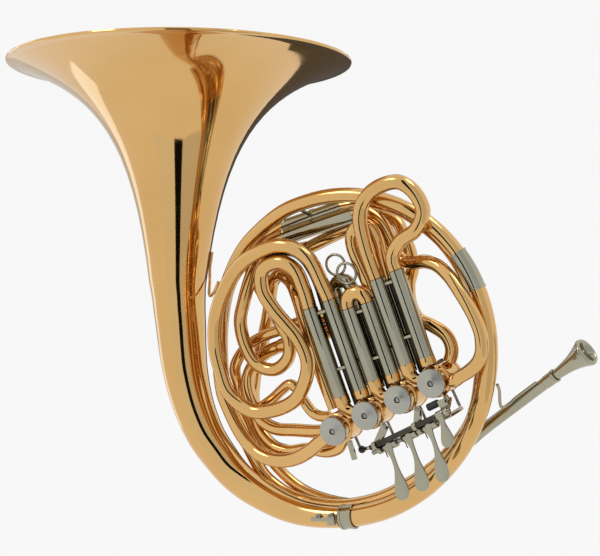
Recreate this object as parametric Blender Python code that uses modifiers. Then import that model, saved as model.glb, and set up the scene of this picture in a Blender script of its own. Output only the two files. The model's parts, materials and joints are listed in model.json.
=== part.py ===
"""A double french horn, built piece by piece. Lengths are in millimetres until they are made."""
import math

import bmesh
import bpy
import numpy as np
from mathutils import Matrix, Vector

MM = 0.001
GAP = 0.3

# Bell and hoop
BELL_RADIUS = 154.5
BELL_FORM = 64.2
BELL_POWER = 1.27
BELL_WALL = 1.0
BELL_RIM = (-255.8, 90.9, 262.1)
BELL_AXIS = (-0.1395, 0.2718, 0.9522)
FLARE_LENGTH = 200.0
HOOP_CENTRE = (-52.2, 30.1)
HOOP_BREADTH = 130.2
HOOP_HEIGHT = 150.2
HOOP_TILT = -37.4
HOOP_DEPTH = 7.5
GARLAND_ANGLE = -83.5
GARLAND_RADIUS = 9.3
FERRULE_ANGLE = 41.5
SMALL_END_RADIUS = 6.3
WIRE_RADIUS = 1.3
# The tail's course: shares of the way from flare to garland, and offsets from the straight line
TAIL_COURSE = ((0.030, -3.3, -0.9, -3.0), (0.061, -7.2, -2.6, -5.9), (0.130, -15.1, -5.3, -12.4),
               (0.202, -24.2, -7.0, -19.7), (0.266, -32.0, -7.4, -26.3), (0.340, -38.4, -8.4, -33.3),
               (0.403, -42.1, -8.6, -39.0), (0.477, -44.0, -8.3, -44.3), (0.544, -42.5, -7.9, -46.9),
               (0.612, -39.8, -7.3, -48.1), (0.677, -35.1, -6.9, -46.0), (0.748, -28.6, -6.2, -40.7),
               (0.818, -21.4, -4.8, -33.6), (0.891, -12.8, -3.1, -22.6))
TAIL_POWER = 0.85

# Valves
VALVE_PITCH = 34.9
ROW_TILT = 30.7
CASING_RADIUS = 14.0
CASING_LENGTH = 31.0
ROTOR_RADIUS = 11.4
BACK_PLATE = 2.5
SPINDLE_RADIUS = 2.4
CAP_HEIGHT = 3.6
TIER = 7.5
VALVES = ("change", "third", "second", "first")

# Slides
LEG_TILT = 22.0
OUTER_LEG_RADIUS = 6.6
BORE_RADIUS = 5.9
INNER_LEG_RADIUS = BORE_RADIUS - GAP
BEND_RADIUS = 6.3
TUBE_RADIUS = 5.8
LEADPIPE_RADIUS = 5.0
RECEIVER_MOUTH = (136.0, 30.0, 33.8)
RECEIVER_LENGTH = 11.6
SHANK_DEPTH = 27.0

# Levers
ROD_DROP = 31.0
ROD_DEPTH = -16.0
ROD_RADIUS = 2.0
HUB_RADIUS = 4.0
LEVER_ARM = 34.0
CRANK = 6.2
LINK_RADIUS = 1.3
CRANK_DEPTH = CASING_LENGTH / 2 + 2.0
THUMB_DROP = 26.0
THUMB_DEPTH = -21.0
BLADE = 2.0
ARM_RADIUS = 1.8

GOLD = ("lacquered_brass", (0.62, 0.37, 0.13), 0.16, 1.0)
NICKEL = ("nickel_silver", (0.50, 0.49, 0.43), 0.22, 1.0)
STEEL = ("steel", (0.35, 0.35, 0.34), 0.3, 1.0)

for old in list(bpy.data.objects):
    bpy.data.objects.remove(old)
HORN = bpy.data.collections.new("double_french_horn")
bpy.context.scene.collection.children.link(HORN)


def finish(obj, name, look):
    """Name a piece, give it its own metal and put it in the horn's collection."""
    obj.name = name
    metal = bpy.data.materials.new(name + "_" + look[0])
    metal.use_nodes = True
    shader = metal.node_tree.nodes["Principled BSDF"]
    shader.inputs["Base Color"].default_value = (*look[1], 1.0)
    shader.inputs["Roughness"].default_value = look[2]
    shader.inputs["Metallic"].default_value = look[3]
    obj.data.materials.clear()
    obj.data.materials.append(metal)
    return obj


def link(obj):
    HORN.objects.link(obj)
    return obj


def smooth(points, radius, turn=15.0):
    """A smooth curve through the points, with a ring wherever it has turned by the given angle."""
    rows = [(*p[:3], p[3] if len(p) > 3 else radius) for p in points]
    rows = np.array(rows, float)
    if len(rows) < 3:
        return rows
    step = np.linalg.norm(np.diff(rows[:, :3], axis=0), axis=1) ** 0.5
    slope = np.zeros_like(rows)
    for i in range(1, len(rows) - 1):
        before = (rows[i] - rows[i - 1]) / step[i - 1]
        after = (rows[i + 1] - rows[i]) / step[i]
        slope[i] = (before * step[i] + after * step[i - 1]) / (step[i] + step[i - 1])
    slope[0] = 2 * (rows[1] - rows[0]) / step[0] - slope[1]
    slope[-1] = 2 * (rows[-1] - rows[-2]) / step[-1] - slope[-2]
    dense = []
    for i in range(len(rows) - 1):
        for s in np.linspace(0, 1, 16, endpoint=False):
            a = 2 * s ** 3 - 3 * s * s + 1
            b = (s ** 3 - 2 * s * s + s) * step[i]
            c = (s ** 3 - s * s) * step[i]
            dense.append(a * rows[i] + b * slope[i] + (1 - a) * rows[i + 1] + c * slope[i + 1])
    dense.append(rows[-1])
    dense = np.array(dense)
    heads = np.diff(dense[:, :3], axis=0)
    heads /= np.linalg.norm(heads, axis=1)[:, None]
    kept = [dense[0]]
    turned_by = 0.0
    for i in range(1, len(dense) - 1):
        turned_by += math.degrees(math.acos(min(1.0, float(heads[i - 1] @ heads[i]))))
        if turned_by >= turn:
            kept.append(dense[i])
            turned_by = 0.0
    if np.linalg.norm(kept[-1][:3] - dense[-1][:3]) < 2.5 and len(kept) > 1:
        kept.pop()
    kept.append(dense[-1])
    return np.array(kept)


def tube(rows, sides=3, caps=True):
    """A curve object along rows of x, y, z and radius; sides is its bevel resolution."""
    curve = bpy.data.curves.new("tube", "CURVE")
    curve.dimensions = "3D"
    curve.bevel_depth = MM
    curve.bevel_resolution = sides
    curve.use_fill_caps = caps
    spline = curve.splines.new("POLY")
    spline.points.add(len(rows) - 1)
    for point, row in zip(spline.points, rows):
        point.co = (row[0] * MM, row[1] * MM, row[2] * MM, 1.0)
        point.radius = row[3]
    return link(bpy.data.objects.new("tube", curve))


def as_mesh(obj):
    """The evaluated mesh of a curve or a modified object, with its caps welded."""
    depsgraph = bpy.context.evaluated_depsgraph_get()
    mesh = bpy.data.meshes.new_from_object(obj.evaluated_get(depsgraph))
    work = bmesh.new()
    work.from_mesh(mesh)
    bmesh.ops.remove_doubles(work, verts=work.verts, dist=0.00001)
    work.to_mesh(mesh)
    work.free()
    copy = bpy.data.objects.new(obj.name, mesh)
    copy.matrix_world = obj.matrix_world
    link(copy)
    bpy.data.objects.remove(obj)
    return copy


def combine(first, others, operation):
    """Join pieces into the first one, or cut them out of it."""
    for other in others:
        modifier = first.modifiers.new("combine", "BOOLEAN")
        modifier.operation = operation
        modifier.object = other
        bpy.context.view_layer.update()
        result = as_mesh(first)
        bpy.data.objects.remove(other)
        first = result
    return first


def bar(start, end, radius, sides=12):
    """A round bar between two points."""
    start = Vector(start)
    end = Vector(end)
    mesh = bpy.data.meshes.new("bar")
    work = bmesh.new()
    bmesh.ops.create_cone(work, cap_ends=True, segments=sides, radius1=radius * MM,
                          radius2=radius * MM, depth=(end - start).length * MM)
    work.to_mesh(mesh)
    work.free()
    obj = bpy.data.objects.new("bar", mesh)
    turn = (end - start).to_track_quat("Z", "Y").to_matrix().to_4x4()
    obj.matrix_world = Matrix.Translation((start + end) / 2 * MM) @ turn
    return link(obj)


def turned(profile, centre, axis, steps=24):
    """A closed profile of radius and height, turned round an axis through the centre."""
    mesh = bpy.data.meshes.new("turned")
    corners = [(r * MM, 0.0, z * MM) for r, z in profile]
    count = len(corners)
    mesh.from_pydata(corners, [(i, (i + 1) % count) for i in range(count)], [])
    obj = bpy.data.objects.new("turned", mesh)
    screw = obj.modifiers.new("turn", "SCREW")
    screw.steps = steps
    screw.render_steps = steps
    screw.use_merge_vertices = True
    screw.merge_threshold = 0.00001
    turn = Vector(axis).to_track_quat("Z", "Y").to_matrix().to_4x4()
    obj.matrix_world = Matrix.Translation(Vector(centre) * MM) @ turn
    return link(obj)


def box(centre, size, axes):
    """A block with its sides along three given directions."""
    mesh = bpy.data.meshes.new("box")
    work = bmesh.new()
    bmesh.ops.create_cube(work, size=1.0)
    work.to_mesh(mesh)
    work.free()
    obj = bpy.data.objects.new("box", mesh)
    turn = Matrix([Vector(a) for a in axes]).transposed().to_4x4()
    obj.matrix_world = Matrix.Translation(Vector(centre) * MM) @ turn @ Matrix.Diagonal(
        (size[0] * MM, size[1] * MM, size[2] * MM, 1.0))
    return as_mesh(link(obj))


ROW = Vector((math.cos(math.radians(ROW_TILT)), 0, math.sin(math.radians(ROW_TILT))))
DROP = Vector((ROW.z, 0, -ROW.x))
BACK = Vector((0, 1, 0))
ACROSS = Vector((math.cos(math.radians(LEG_TILT)), 0, math.sin(math.radians(LEG_TILT))))
UP = Vector((-ACROSS.z, 0, ACROSS.x))


def row_point(along, drop, depth):
    """A point by its place along the valve row, below it and behind its middle plane."""
    return ROW * along + DROP * drop + BACK * depth


def valve(index):
    return row_point((index - 1.5) * VALVE_PITCH, 0, 0)


def slide(index, across, up, depth):
    """A point of a valve's slides: across and up along the tilted legs."""
    return valve(index) + ACROSS * across + UP * up + BACK * depth


def port(index, angle, out, depth):
    """A point square to a casing's wall, at an angle round the valve and some way out."""
    reach = CASING_RADIUS + GAP + out
    turn = math.radians(angle)
    return valve(index) + Vector((reach * math.cos(turn), depth, reach * math.sin(turn)))


def hoop(angle, inward=0.0, behind=0.0):
    """A point by the oval hoop, at an angle from the right, moved inward and behind."""
    t = math.radians(angle - HOOP_TILT)
    x = HOOP_BREADTH * math.cos(t)
    z = HOOP_HEIGHT * math.sin(t)
    normal = Vector((x / HOOP_BREADTH ** 2, z / HOOP_HEIGHT ** 2)).normalized()
    x -= inward * normal.x
    z -= inward * normal.y
    c = math.cos(math.radians(HOOP_TILT))
    s = math.sin(math.radians(HOOP_TILT))
    return (HOOP_CENTRE[0] + x * c - z * s, HOOP_DEPTH + behind, HOOP_CENTRE[1] + x * s + z * c)


def bell_radius(length):
    """The bore's radius at a length from the rim, one law from the rim to the garland."""
    return BELL_RADIUS * (BELL_FORM / (length + BELL_FORM)) ** BELL_POWER


def laid(points):
    """Typed points of a course. They are written for a hoop 150.2 high and grow with it."""
    spread = HOOP_HEIGHT / 150.2
    return [tuple(v * spread for v in p[:3]) + tuple(p[3:]) for p in points]


def make_bell():
    stations = [0, 3, 7, 13, 21, 32, 46, 64, 88, 118, 155, FLARE_LENGTH]
    outer = [(bell_radius(s), -s) for s in stations]
    inner = [(bell_radius(s) - BELL_WALL, -s) for s in reversed(stations)]
    bead = [(BELL_RADIUS - BELL_WALL, 1.5), (BELL_RADIUS + 1.2, 1.5), (BELL_RADIUS + 1.2, -1.2)]
    flare = turned(bead + outer[1:] + inner[:-1], BELL_RIM, BELL_AXIS, 40)
    finish(flare, "bell_flare", GOLD)
    axis = Vector(BELL_AXIS).normalized()
    start = Vector(BELL_RIM) - axis * (FLARE_LENGTH + GAP)
    end = Vector(hoop(GARLAND_ANGLE - 1.2))
    outside = [tuple(start - axis * 3)]
    for share, *off in TAIL_COURSE:
        outside.append(tuple(start.lerp(end, share) + Vector(laid([off])[0])))
    outside.append(tuple(end))
    rows = np.vstack([(*start, 0), smooth(outside, 0, 11)])
    along = np.cumsum(np.linalg.norm(np.diff(rows[:, :3], axis=0), axis=1))
    wide = bell_radius(FLARE_LENGTH)
    rows[0, 3] = wide
    rows[1:, 3] = wide + (GARLAND_RADIUS - wide) * (along / along[-1]) ** TAIL_POWER
    tail = as_mesh(tube(rows, 5))
    head = np.array([*(Vector(rows[0][:3]) + axis * 2), rows[0][3]])
    bore = np.vstack([head, rows[:-1]])
    bore[:, 3] -= BELL_WALL
    tail = combine(tail, [as_mesh(tube(bore, 5))], "DIFFERENCE")
    finish(tail, "bell_tail", GOLD)
    outward = (Vector((1, 0.36, 0)) - axis * axis.dot(Vector((1, 0.36, 0)))).normalized()
    wire = []
    for share, clear in ((0.86, 0), (0.9, 0), (0.94, 0.3), (0.985, 1.6)):
        level = Vector(BELL_RIM) - axis * share * FLARE_LENGTH
        reach = bell_radius(share * FLARE_LENGTH) + WIRE_RADIUS + GAP + clear
        wire.append(tuple(level + outward * reach))
    wire += laid([(-192.5, 31, 67.4), (-183.5, 19, 68.6), (-175.5, 11.5, 76), (-170.2, 8.5, 84.9)])
    finish(tube(smooth(wire, WIRE_RADIUS), 1), "bell_brace", GOLD)


def band(angle, inside, half, name):
    """A sleeve of the hoop, with a raised edge at each end."""
    away = Vector(hoop(angle + 1)) - Vector(hoop(angle - 1))
    rim = min(2.0, half / 3)
    profile = [(inside, half), (inside + 1.3, half), (inside + 1.3, half - rim),
               (inside + 0.8, half - rim), (inside + 0.8, rim - half), (inside + 1.3, rim - half),
               (inside + 1.3, -half), (inside, -half)]
    finish(turned(profile, hoop(angle), away), name, NICKEL)


def make_hoop():
    band(GARLAND_ANGLE + 2.6, GARLAND_RADIUS + 0.4, 8.0, "garland")
    span = FERRULE_ANGLE - GARLAND_ANGLE
    fall = GARLAND_RADIUS - SMALL_END_RADIUS - 0.5
    shares = [0.0] + [(i + 0.6) / 13 for i in range(13)]
    big = [(*hoop(GARLAND_ANGLE + span * t), GARLAND_RADIUS - fall * t) for t in shares]
    finish(tube(smooth(big, 0, 7), 4), "second_branch", GOLD)
    band(FERRULE_ANGLE, SMALL_END_RADIUS + 0.9, 6.5, "branch_ferrule")
    small = [(*hoop(a), SMALL_END_RADIUS) for a in range(41, 119, 11)]
    small += laid([(-138.5, 7.5, 124.5), (-149.9, 7.5, 108), (-157.6, 7.5, 92), (-163.5, 7.5, 76)])
    small += laid([(-167.5, 7.5, 60), (-169.2, 7.5, 40), (-169.2, 7.5, 18), (-168, 7.5, -2)])
    small += laid([(-165.3, 7.5, -16.4), (-159.8, 7, -28), (-151.7, 5, -40.5), (-142.4, 2, -50.6)])
    small += laid([(-131.2, -1, -59), (-118.3, -4, -63.6), (-99.9, -6.5, -63.6), (-81.7, -7.5, -57)])
    small += [(*port(0, 220, 10, -TIER), SMALL_END_RADIUS)]
    rows = np.vstack([smooth(small, SMALL_END_RADIUS, 9),
                      (*port(0, 220, 0, -TIER), SMALL_END_RADIUS)])
    finish(tube(rows), "first_branch", GOLD)


def make_leadpipe():
    mouth = Vector(RECEIVER_MOUTH)
    bend = Vector(laid([(75.5, 31, -19.1)])[0])
    run = (mouth - bend).normalized()
    start = mouth - run * (RECEIVER_LENGTH + GAP)
    foot = Vector(laid([(59.0, 33, -35.2)])[0])
    ahead = (foot - bend).normalized()
    course = smooth([start, start - run * 20, bend, foot - ahead * 6], LEADPIPE_RADIUS)
    pipe = as_mesh(tube([*course, (*foot, LEADPIPE_RADIUS)]))
    bore = as_mesh(bar(start + run * 4, start - run * (SHANK_DEPTH - RECEIVER_LENGTH + 1), 4.3))
    finish(combine(pipe, [bore], "DIFFERENCE"), "leadpipe", NICKEL)
    route = [tuple(foot + ahead * 6)]
    route += laid([(33, 35, -70), (-1, 36, -95), (-52, 38, -109), (-100, 38, -104), (-132, 38, -83)])
    route += laid([(-152, 38, -58), (-162, 38, -35), (-165, 34, -14), (-164, 26, 3), (-157, 23, 17)])
    route += laid([(-145, 23, 30), (-117, 23, 44.4)])
    rows = [(*(foot + ahead * GAP), LEADPIPE_RADIUS), *smooth(route, LEADPIPE_RADIUS)]
    end = Vector(rows[-1][:3])
    legs = [(*(end + ACROSS * 2), OUTER_LEG_RADIUS), (*(end + ACROSS * 64), OUTER_LEG_RADIUS)]
    pipe = as_mesh(tube(list(rows) + legs))
    bore = as_mesh(bar(end + ACROSS * 8, end + ACROSS * 70, BORE_RADIUS))
    finish(combine(pipe, [bore], "DIFFERENCE"), "leadpipe_branch", GOLD)
    out = RECEIVER_LENGTH
    finish(turned([(5.3, -out), (4.6, -out), (4.8, 0), (6.0, 0), (6.0, -1.8), (5.5, -2.5),
                   (5.5, 1.5 - out)], mouth, run, 20), "receiver", NICKEL)
    cup = [(9.0, 36.4), (11.7, 36.2), (12.2, 34.2), (11.3, 32), (9.2, 26.5), (6.4, 17), (4.9, 6)]
    cup += [(4.3, 0), (3.8, -SHANK_DEPTH), (1.9, -SHANK_DEPTH), (2.3, 6), (4.2, 20), (6.6, 31)]
    finish(turned(cup, mouth, run, 24), "mouthpiece", NICKEL)
    return end


def make_return():
    end = Vector(laid([(-117, 23, 30.0)])[0])
    route = [tuple(port(0, 204, 8, TIER))]
    route += laid([(-76, 7.5, -37.6), (-94, 7.5, -38.9), (-111, 7.5, -40.4), (-120, 8, -38.7)])
    route += laid([(-128.5, 8, -33.5), (-138, 9.5, -19), (-144, 13, -3), (-143, 20, 9)])
    route += [*laid([(-135, 23, 19)]), tuple(end)]
    rows = [(*port(0, 204, 0, TIER), TUBE_RADIUS), *smooth(route, TUBE_RADIUS)]
    rows += [(*(end + ACROSS * 2), OUTER_LEG_RADIUS), (*(end + ACROSS * 64), OUTER_LEG_RADIUS)]
    pipe = as_mesh(tube(rows))
    bore = as_mesh(bar(end + ACROSS * 8, end + ACROSS * 70, BORE_RADIUS))
    finish(combine(pipe, [bore], "DIFFERENCE"), "tuning_return", GOLD)
    return end


def make_bow(name, ends, direction, depth_in, reach, look=GOLD):
    """A slide's bow: two inner legs and the bend that joins them."""
    first, second = ends
    half = (second - first) / 2
    middle = (first + second) / 2 + direction * reach
    bend = []
    for step in range(7):
        angle = math.pi * step / 6
        bend.append((*(middle - half * math.cos(angle) + direction * half.length * math.sin(angle)),
                     BEND_RADIUS - 0.2))
    rows = [(*(first - direction * depth_in), INNER_LEG_RADIUS), (*(first + direction * GAP),
            INNER_LEG_RADIUS), (*(first + direction * (GAP + 0.6)), BEND_RADIUS - 0.2)]
    rows += bend
    rows += [(*(second + direction * (GAP + 0.6)), BEND_RADIUS - 0.2),
             (*(second + direction * GAP), INNER_LEG_RADIUS),
             (*(second - direction * depth_in), INNER_LEG_RADIUS)]
    return finish(tube(rows), name, look)


def make_legs(name, index, left, right, depth, elbow):
    """Two outer legs of a valve's slide, braced, each bored for its inner leg."""
    pieces = []
    tops = []
    for leg, (across, low, high) in enumerate((left, right)):
        bottom = slide(index, across, low, depth)
        top = slide(index, across, high, depth)
        rows = [(*bottom, OUTER_LEG_RADIUS), (*top, OUTER_LEG_RADIUS)]
        if leg == 0 and elbow:
            foot = [(*slide(index, *place, depth), 4.6) for place in elbow]
            rows = foot + [(*slide(index, across, low - 2.5, depth), 5.6)] + rows
        pieces.append(as_mesh(tube(rows)))
        tops.append(top)
    for up in (0.35, 0.93):
        a = slide(index, left[0], left[1] + up * (left[2] - left[1]), depth)
        b = slide(index, right[0], left[1] + up * (left[2] - left[1]), depth)
        pieces.append(as_mesh(bar(a, b, 1.6, 8)))
    legs = combine(pieces[0], pieces[1:], "UNION")
    cuts = []
    for (across, low, high), top in zip((left, right), tops):
        cuts.append(as_mesh(bar(slide(index, across, low + 8, depth), top + UP * 4, BORE_RADIUS)))
    finish(combine(legs, cuts, "DIFFERENCE"), name, NICKEL)
    return tops


def make_crook(name, tops, route, depth_in):
    """The bow of a valve slide: a loop between its two inner legs."""
    first, second = tops
    lift = UP * (GAP + 0.6)
    loop = smooth([(*(first + lift), BEND_RADIUS)] + route + [(*(second + lift), BEND_RADIUS)],
                  BEND_RADIUS, 16)
    rows = [(*(first - UP * depth_in), INNER_LEG_RADIUS), (*(first + UP * GAP), INNER_LEG_RADIUS)]
    rows += list(loop)
    rows += [(*(second + UP * GAP), INNER_LEG_RADIUS), (*(second - UP * depth_in), INNER_LEG_RADIUS)]
    finish(tube(rows), name, GOLD)


def make_valve_slides():
    elbow = ((-13.7, 4.4), (-17.5, 6.2))
    third = make_legs("third_slide_legs", 1, (-21.5, 13, 99.5), (-1, 14.4, 101), -TIER, elbow)
    places = [(-21, 108), (-20.8, 116), (-22.8, 134.4), (-34.1, 144.8), (-52.5, 143), (-59.5, 126)]
    places += [(-54.9, 106.5), (-42, 76.7), (-41, 57.6), (-48.6, 43), (-65.7, 28.5), (-93.2, 25.5)]
    places += [(-112.1, 31.3), (-126.6, 50.8), (-127, 73.7), (-123.6, 94.4), (-110, 122)]
    places += [(-82.2, 147.9), (-60.7, 157), (-26.1, 157.5), (-7, 140.5), (-2, 112)]
    make_crook("third_slide_crook", third, [tuple(slide(1, *p, -TIER)) for p in places], 52)
    second = make_legs("second_slide_legs", 2, (-20.2, 13, 84), (-1.9, 14.4, 84), -TIER, elbow)
    places = [(-20, 87.5), (-18.1, 92), (-14.6, 94.6), (-11, 95.5), (-7.5, 94.6), (-4, 92), (-2.1, 87.5)]
    make_crook("second_slide_crook", second, [tuple(slide(2, *p, -TIER)) for p in places], 42)
    first = make_legs("first_slide_legs", 3, (-20.6, 13, 95), (-1, 14.4, 97), -TIER, elbow)
    places = [(-21, 106), (-20.6, 125.2), (-17.2, 146.2), (-9.3, 158.7), (5.6, 166.4), (27.7, 165.6)]
    places += [(38.4, 153.6), (40.4, 136.6), (28.7, 124), (12, 119), (1, 110)]
    make_crook("first_slide_crook", first, [tuple(slide(3, *p, -TIER)) for p in places], 50)
    low = make_legs("low_third_slide_legs", 1, (-1.3, 14.5, 100), (14.6, 22, 100), TIER, None)
    make_bow("low_third_slide_bow", low, UP, 55, 5, NICKEL)
    low = make_legs("low_second_slide_legs", 2, (-3.2, 14.8, 92), (14.6, 22, 92), TIER, None)
    places = [(-3.6, 102.4), (-5.2, 117.7), (-5.6, 132), (-2, 142), (7, 147), (15, 142), (17.4, 130.4)]
    places += [(15.6, 112)]
    make_crook("low_second_slide_crook", low, [tuple(slide(2, *p, TIER + 1)) for p in places], 48)


def make_loops():
    branch = [tuple(port(0, 256, 3, TIER))]
    branch += laid([(-53, 7.5, -49.5), (-63, 7.5, -53.5), (-74, 8, -54), (-85, 8.5, -55.5)])
    branch += laid([(-100.6, 9, -59.6), (-117, 11, -58), (-130, 14.5, -50), (-139.5, 20, -39)])
    branch += laid([(-148, 30, -22), (-150, 36, -8), (-148, 38, 9), (-143, 38, 25), (-136, 38, 57)])
    branch += laid([(-134, 37, 73), (-130, 35, 85), (-120, 30, 92), (-107, 24, 88), (-94, 13, 76)])
    branch += laid([(-85, 8, 58), (-72, 8, 22), (-56, 7.5, -14.2)])
    rows = np.vstack([(*port(0, 256, 0, TIER), TUBE_RADIUS), smooth(branch, TUBE_RADIUS)])
    finish(tube(rows), "change_valve_loop", GOLD)
    knee = laid([(-61, 8, -22), (-76, 9, -22.3), (-86, 9, -12.5), (-93, 9.5, -2.6)])
    knee += laid([(-100.5, 10, 0.6), (-109, 11.5, -5.5), (-119.5, 13, -13.4), (-125.5, 14, -16)])
    finish(tube(smooth(knee, 4.8)), "change_valve_knee", GOLD)
    low_end = Vector(laid([(-44, 20, 155)])[0])
    low_start = Vector(laid([(-111, 20, 128)])[0])
    along = (low_end - low_start).normalized()
    high_start = low_start + Vector((-6, 13, 6.2))
    high_end = high_start + along * 60
    arch = laid([(-34, 21, 156.5), (-21, 22, 149), (-11, 20.5, 136), (-3, 18, 124), (5, 15.5, 119)])
    arch += laid([(14, 12.5, 119.5), (26.3, 9, 122.6), (38.1, 6.5, 121.2), (51.2, 2, 114)])
    arch += laid([(63, -3, 103.4), (73, -6.5, 92.5), (80.1, -8, 82), (84.8, -8.5, 71), (86, -8.5, 58)])
    arch += laid([(82.5, -8, 47.5), (73.8, -7.5, 38), (66, -7.5, 32.5)])
    arch += [tuple(port(3, 8, 3, -TIER)), tuple(port(3, 8, 0, -TIER))]
    rows = [(*low_start, OUTER_LEG_RADIUS), (*low_end, OUTER_LEG_RADIUS)]
    rows += list(smooth([(*(low_end + along * 1.5), TUBE_RADIUS)] + arch, TUBE_RADIUS))
    arch_tube = as_mesh(tube(rows))
    bore = as_mesh(bar(low_start - along * 4, low_end - along * 4, BORE_RADIUS))
    finish(combine(arch_tube, [bore], "DIFFERENCE"), "first_valve_arch", GOLD)
    ring = laid([(-44, 33, 161), (-32, 33, 162.5), (-18, 29, 162.5), (-4, 24, 161), (10, 20.5, 156.5)])
    ring += laid([(24.8, 19, 148.1), (38.4, 18.5, 138), (52, 18.5, 122), (63, 19, 101), (69.5, 19, 82)])
    ring += laid([(72.9, 20.5, 62), (73.8, 21, 44), (73, 21, 24), (69.9, 21, 2), (63.4, 21, -17)])
    ring += laid([(50, 19.5, -37.5), (35.4, 20, -54.4), (10.8, 21.5, -75), (-22, 23, -95)])
    ring += laid([(-58, 24.5, -107)])
    ring += laid([(-96, 28, -109.2), (-117.6, 29, -104), (-136.5, 28.8, -92), (-149, 27.8, -72.6)])
    ring += laid([(-158.5, 26, -51), (-168.1, 25, -32), (-175, 25, -12), (-177, 25, 15), (-176, 25, 44)])
    ring += laid([(-173, 28, 69), (-168, 33, 86), (-159, 40, 99), (-141, 44.5, 109), (-118, 42, 112)])
    ring += laid([(-97, 37.2, 117)])
    rows = [(*high_start, OUTER_LEG_RADIUS), (*high_end, OUTER_LEG_RADIUS)]
    rows += list(smooth([(*(high_end + along * 1.5), TUBE_RADIUS)] + ring, TUBE_RADIUS))
    loop = as_mesh(tube(rows))
    bore = as_mesh(bar(high_start - along * 4, high_end - along * 4, BORE_RADIUS, 20))
    finish(combine(loop, [bore], "DIFFERENCE"), "f_loop_tube", GOLD)
    bow = laid([(-94.3, 36.9, 118.3), (-75, 36, 129), (-52, 38, 141), (-40, 40, 146), (-25, 41, 150)])
    bow += laid([(-13, 39, 146), (-5, 35, 136), (3, 31, 123), (8, 24, 111), (9, 15, 100), (14, 9, 84)])
    bow += laid([(22, 8, 73), (34, 8, 69), (47, 8, 62), (52, 8, 52), (50.6, 7.5, 41)])
    finish(tube(smooth(bow, TUBE_RADIUS)), "tuning_bow", GOLD)
    loop = laid([(-123, 19, 122.6), (-130, 18.5, 115.5), (-137, 16, 104), (-140, 11, 90)])
    loop += laid([(-145, 8, 69), (-148, 7.5, 52), (-143, 7.5, 31), (-131, 7.5, 15), (-114, 7.5, 13)])
    loop += laid([(-101, 7.5, 25), (-100, 7.5, 41), (-109, 9.5, 53), (-123, 17, 67), (-139, 24, 82)])
    loop += laid([(-148, 27, 97), (-148, 29.5, 110), (-140, 32, 121), (-130, 33, 127)])
    first = low_start - along * (GAP + 0.6)
    second = high_start - along * (GAP + 0.6)
    rows = [(*(low_start + along * 45), INNER_LEG_RADIUS)]
    rows += [(*(low_start - along * GAP), INNER_LEG_RADIUS)]
    rows += list(smooth([(*first, TUBE_RADIUS)] + loop + [(*second, TUBE_RADIUS)], TUBE_RADIUS, 16))
    rows += [(*(high_start - along * GAP), INNER_LEG_RADIUS)]
    rows += [(*(high_start + along * 45), INNER_LEG_RADIUS)]
    finish(tube(rows), "f_tuning_crook", GOLD)


def make_valves():
    half = CASING_LENGTH / 2
    inner = ROTOR_RADIUS + GAP
    hole = SPINDLE_RADIUS + GAP
    for index, name in enumerate(VALVES):
        centre = valve(index)
        front = -BACK
        shell = [(CASING_RADIUS, half), (CASING_RADIUS, -half), (hole, -half),
                 (hole, BACK_PLATE - half), (inner, BACK_PLATE - half), (inner, half)]
        finish(turned(shell, centre, front, 20), name + "_valve_casing", GOLD)
        cap = turned([(CASING_RADIUS - 0.6, CAP_HEIGHT), (CASING_RADIUS, CAP_HEIGHT - 0.8),
                      (CASING_RADIUS, GAP), (4.0, GAP), (4.0, CAP_HEIGHT)], centre + front * half,
                     front, 24)
        finish(cap, name + "_valve_cap", NICKEL)
        length = CASING_LENGTH - BACK_PLATE - 2 * GAP - 0.7
        base = centre + BACK * (half - BACK_PLATE - GAP)
        rotor = as_mesh(bar(base - BACK * length, base, ROTOR_RADIUS, 20))
        spindle = as_mesh(bar(base - BACK * 2, centre + BACK * (CRANK_DEPTH + 2.2), SPINDLE_RADIUS, 10))
        nose = centre - BACK * (half + CAP_HEIGHT + 0.8)
        stem = as_mesh(bar(base - BACK * (length - 2), nose, 3.5, 12))
        finish(combine(rotor, [spindle, stem], "UNION"), name + "_valve_rotor", STEEL)
        make_crank(index, name)


def crank_pin():
    """The crank's pin seen from the valve's axis, at rest."""
    eighth = CRANK * math.sin(math.radians(45))
    return DROP * eighth - ROW * eighth


def make_crank(index, name):
    centre = valve(index) + BACK * CRANK_DEPTH
    pin = crank_pin()
    hub = as_mesh(bar(centre - BACK * 1.2, centre + BACK * 1.2, 4.4, 12))
    reach = pin.normalized()
    arm = box(centre + pin * 0.75, (CRANK * 1.1, 2.0, 3.6), (reach, BACK, reach.cross(BACK)))
    crank = combine(hub, [arm], "UNION")
    hole = as_mesh(bar(centre - BACK * 4, centre + BACK * 4, SPINDLE_RADIUS + GAP, 10))
    finish(combine(crank, [hole], "DIFFERENCE"), name + "_stop_arm", NICKEL)


def leaf(root, along, side, outward, stations):
    """A thin plate along a line: rows of its distance, lift and left and right half widths."""
    rows = []
    for reach, lift, left, right in stations:
        middle = root + along * reach + outward * lift
        front = middle + outward * (BLADE / 2)
        rear = middle - outward * (BLADE / 2)
        rows.append([front - side * left, front + side * right, rear + side * right, rear - side * left])
    corners = [tuple(c * MM) for row in rows for c in row]
    faces = [(3, 2, 1, 0)]
    for i in range(len(rows) - 1):
        for k in range(4):
            j = (k + 1) % 4
            faces.append((4 * i + k, 4 * i + j, 4 * i + 4 + j, 4 * i + 4 + k))
    last = 4 * (len(rows) - 1)
    faces.append((last, last + 1, last + 2, last + 3))
    mesh = bpy.data.meshes.new("leaf")
    mesh.from_pydata(corners, [], faces)
    work = bmesh.new()
    work.from_mesh(mesh)
    bmesh.ops.recalc_face_normals(work, faces=work.faces)
    work.to_mesh(mesh)
    work.free()
    return link(bpy.data.objects.new("leaf", mesh))


def rod_bar(start, end, drop, depth, radius, sides=12):
    """A round bar along the valve row."""
    return as_mesh(bar(row_point(start, drop, depth), row_point(end, drop, depth), radius, sides))


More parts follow.
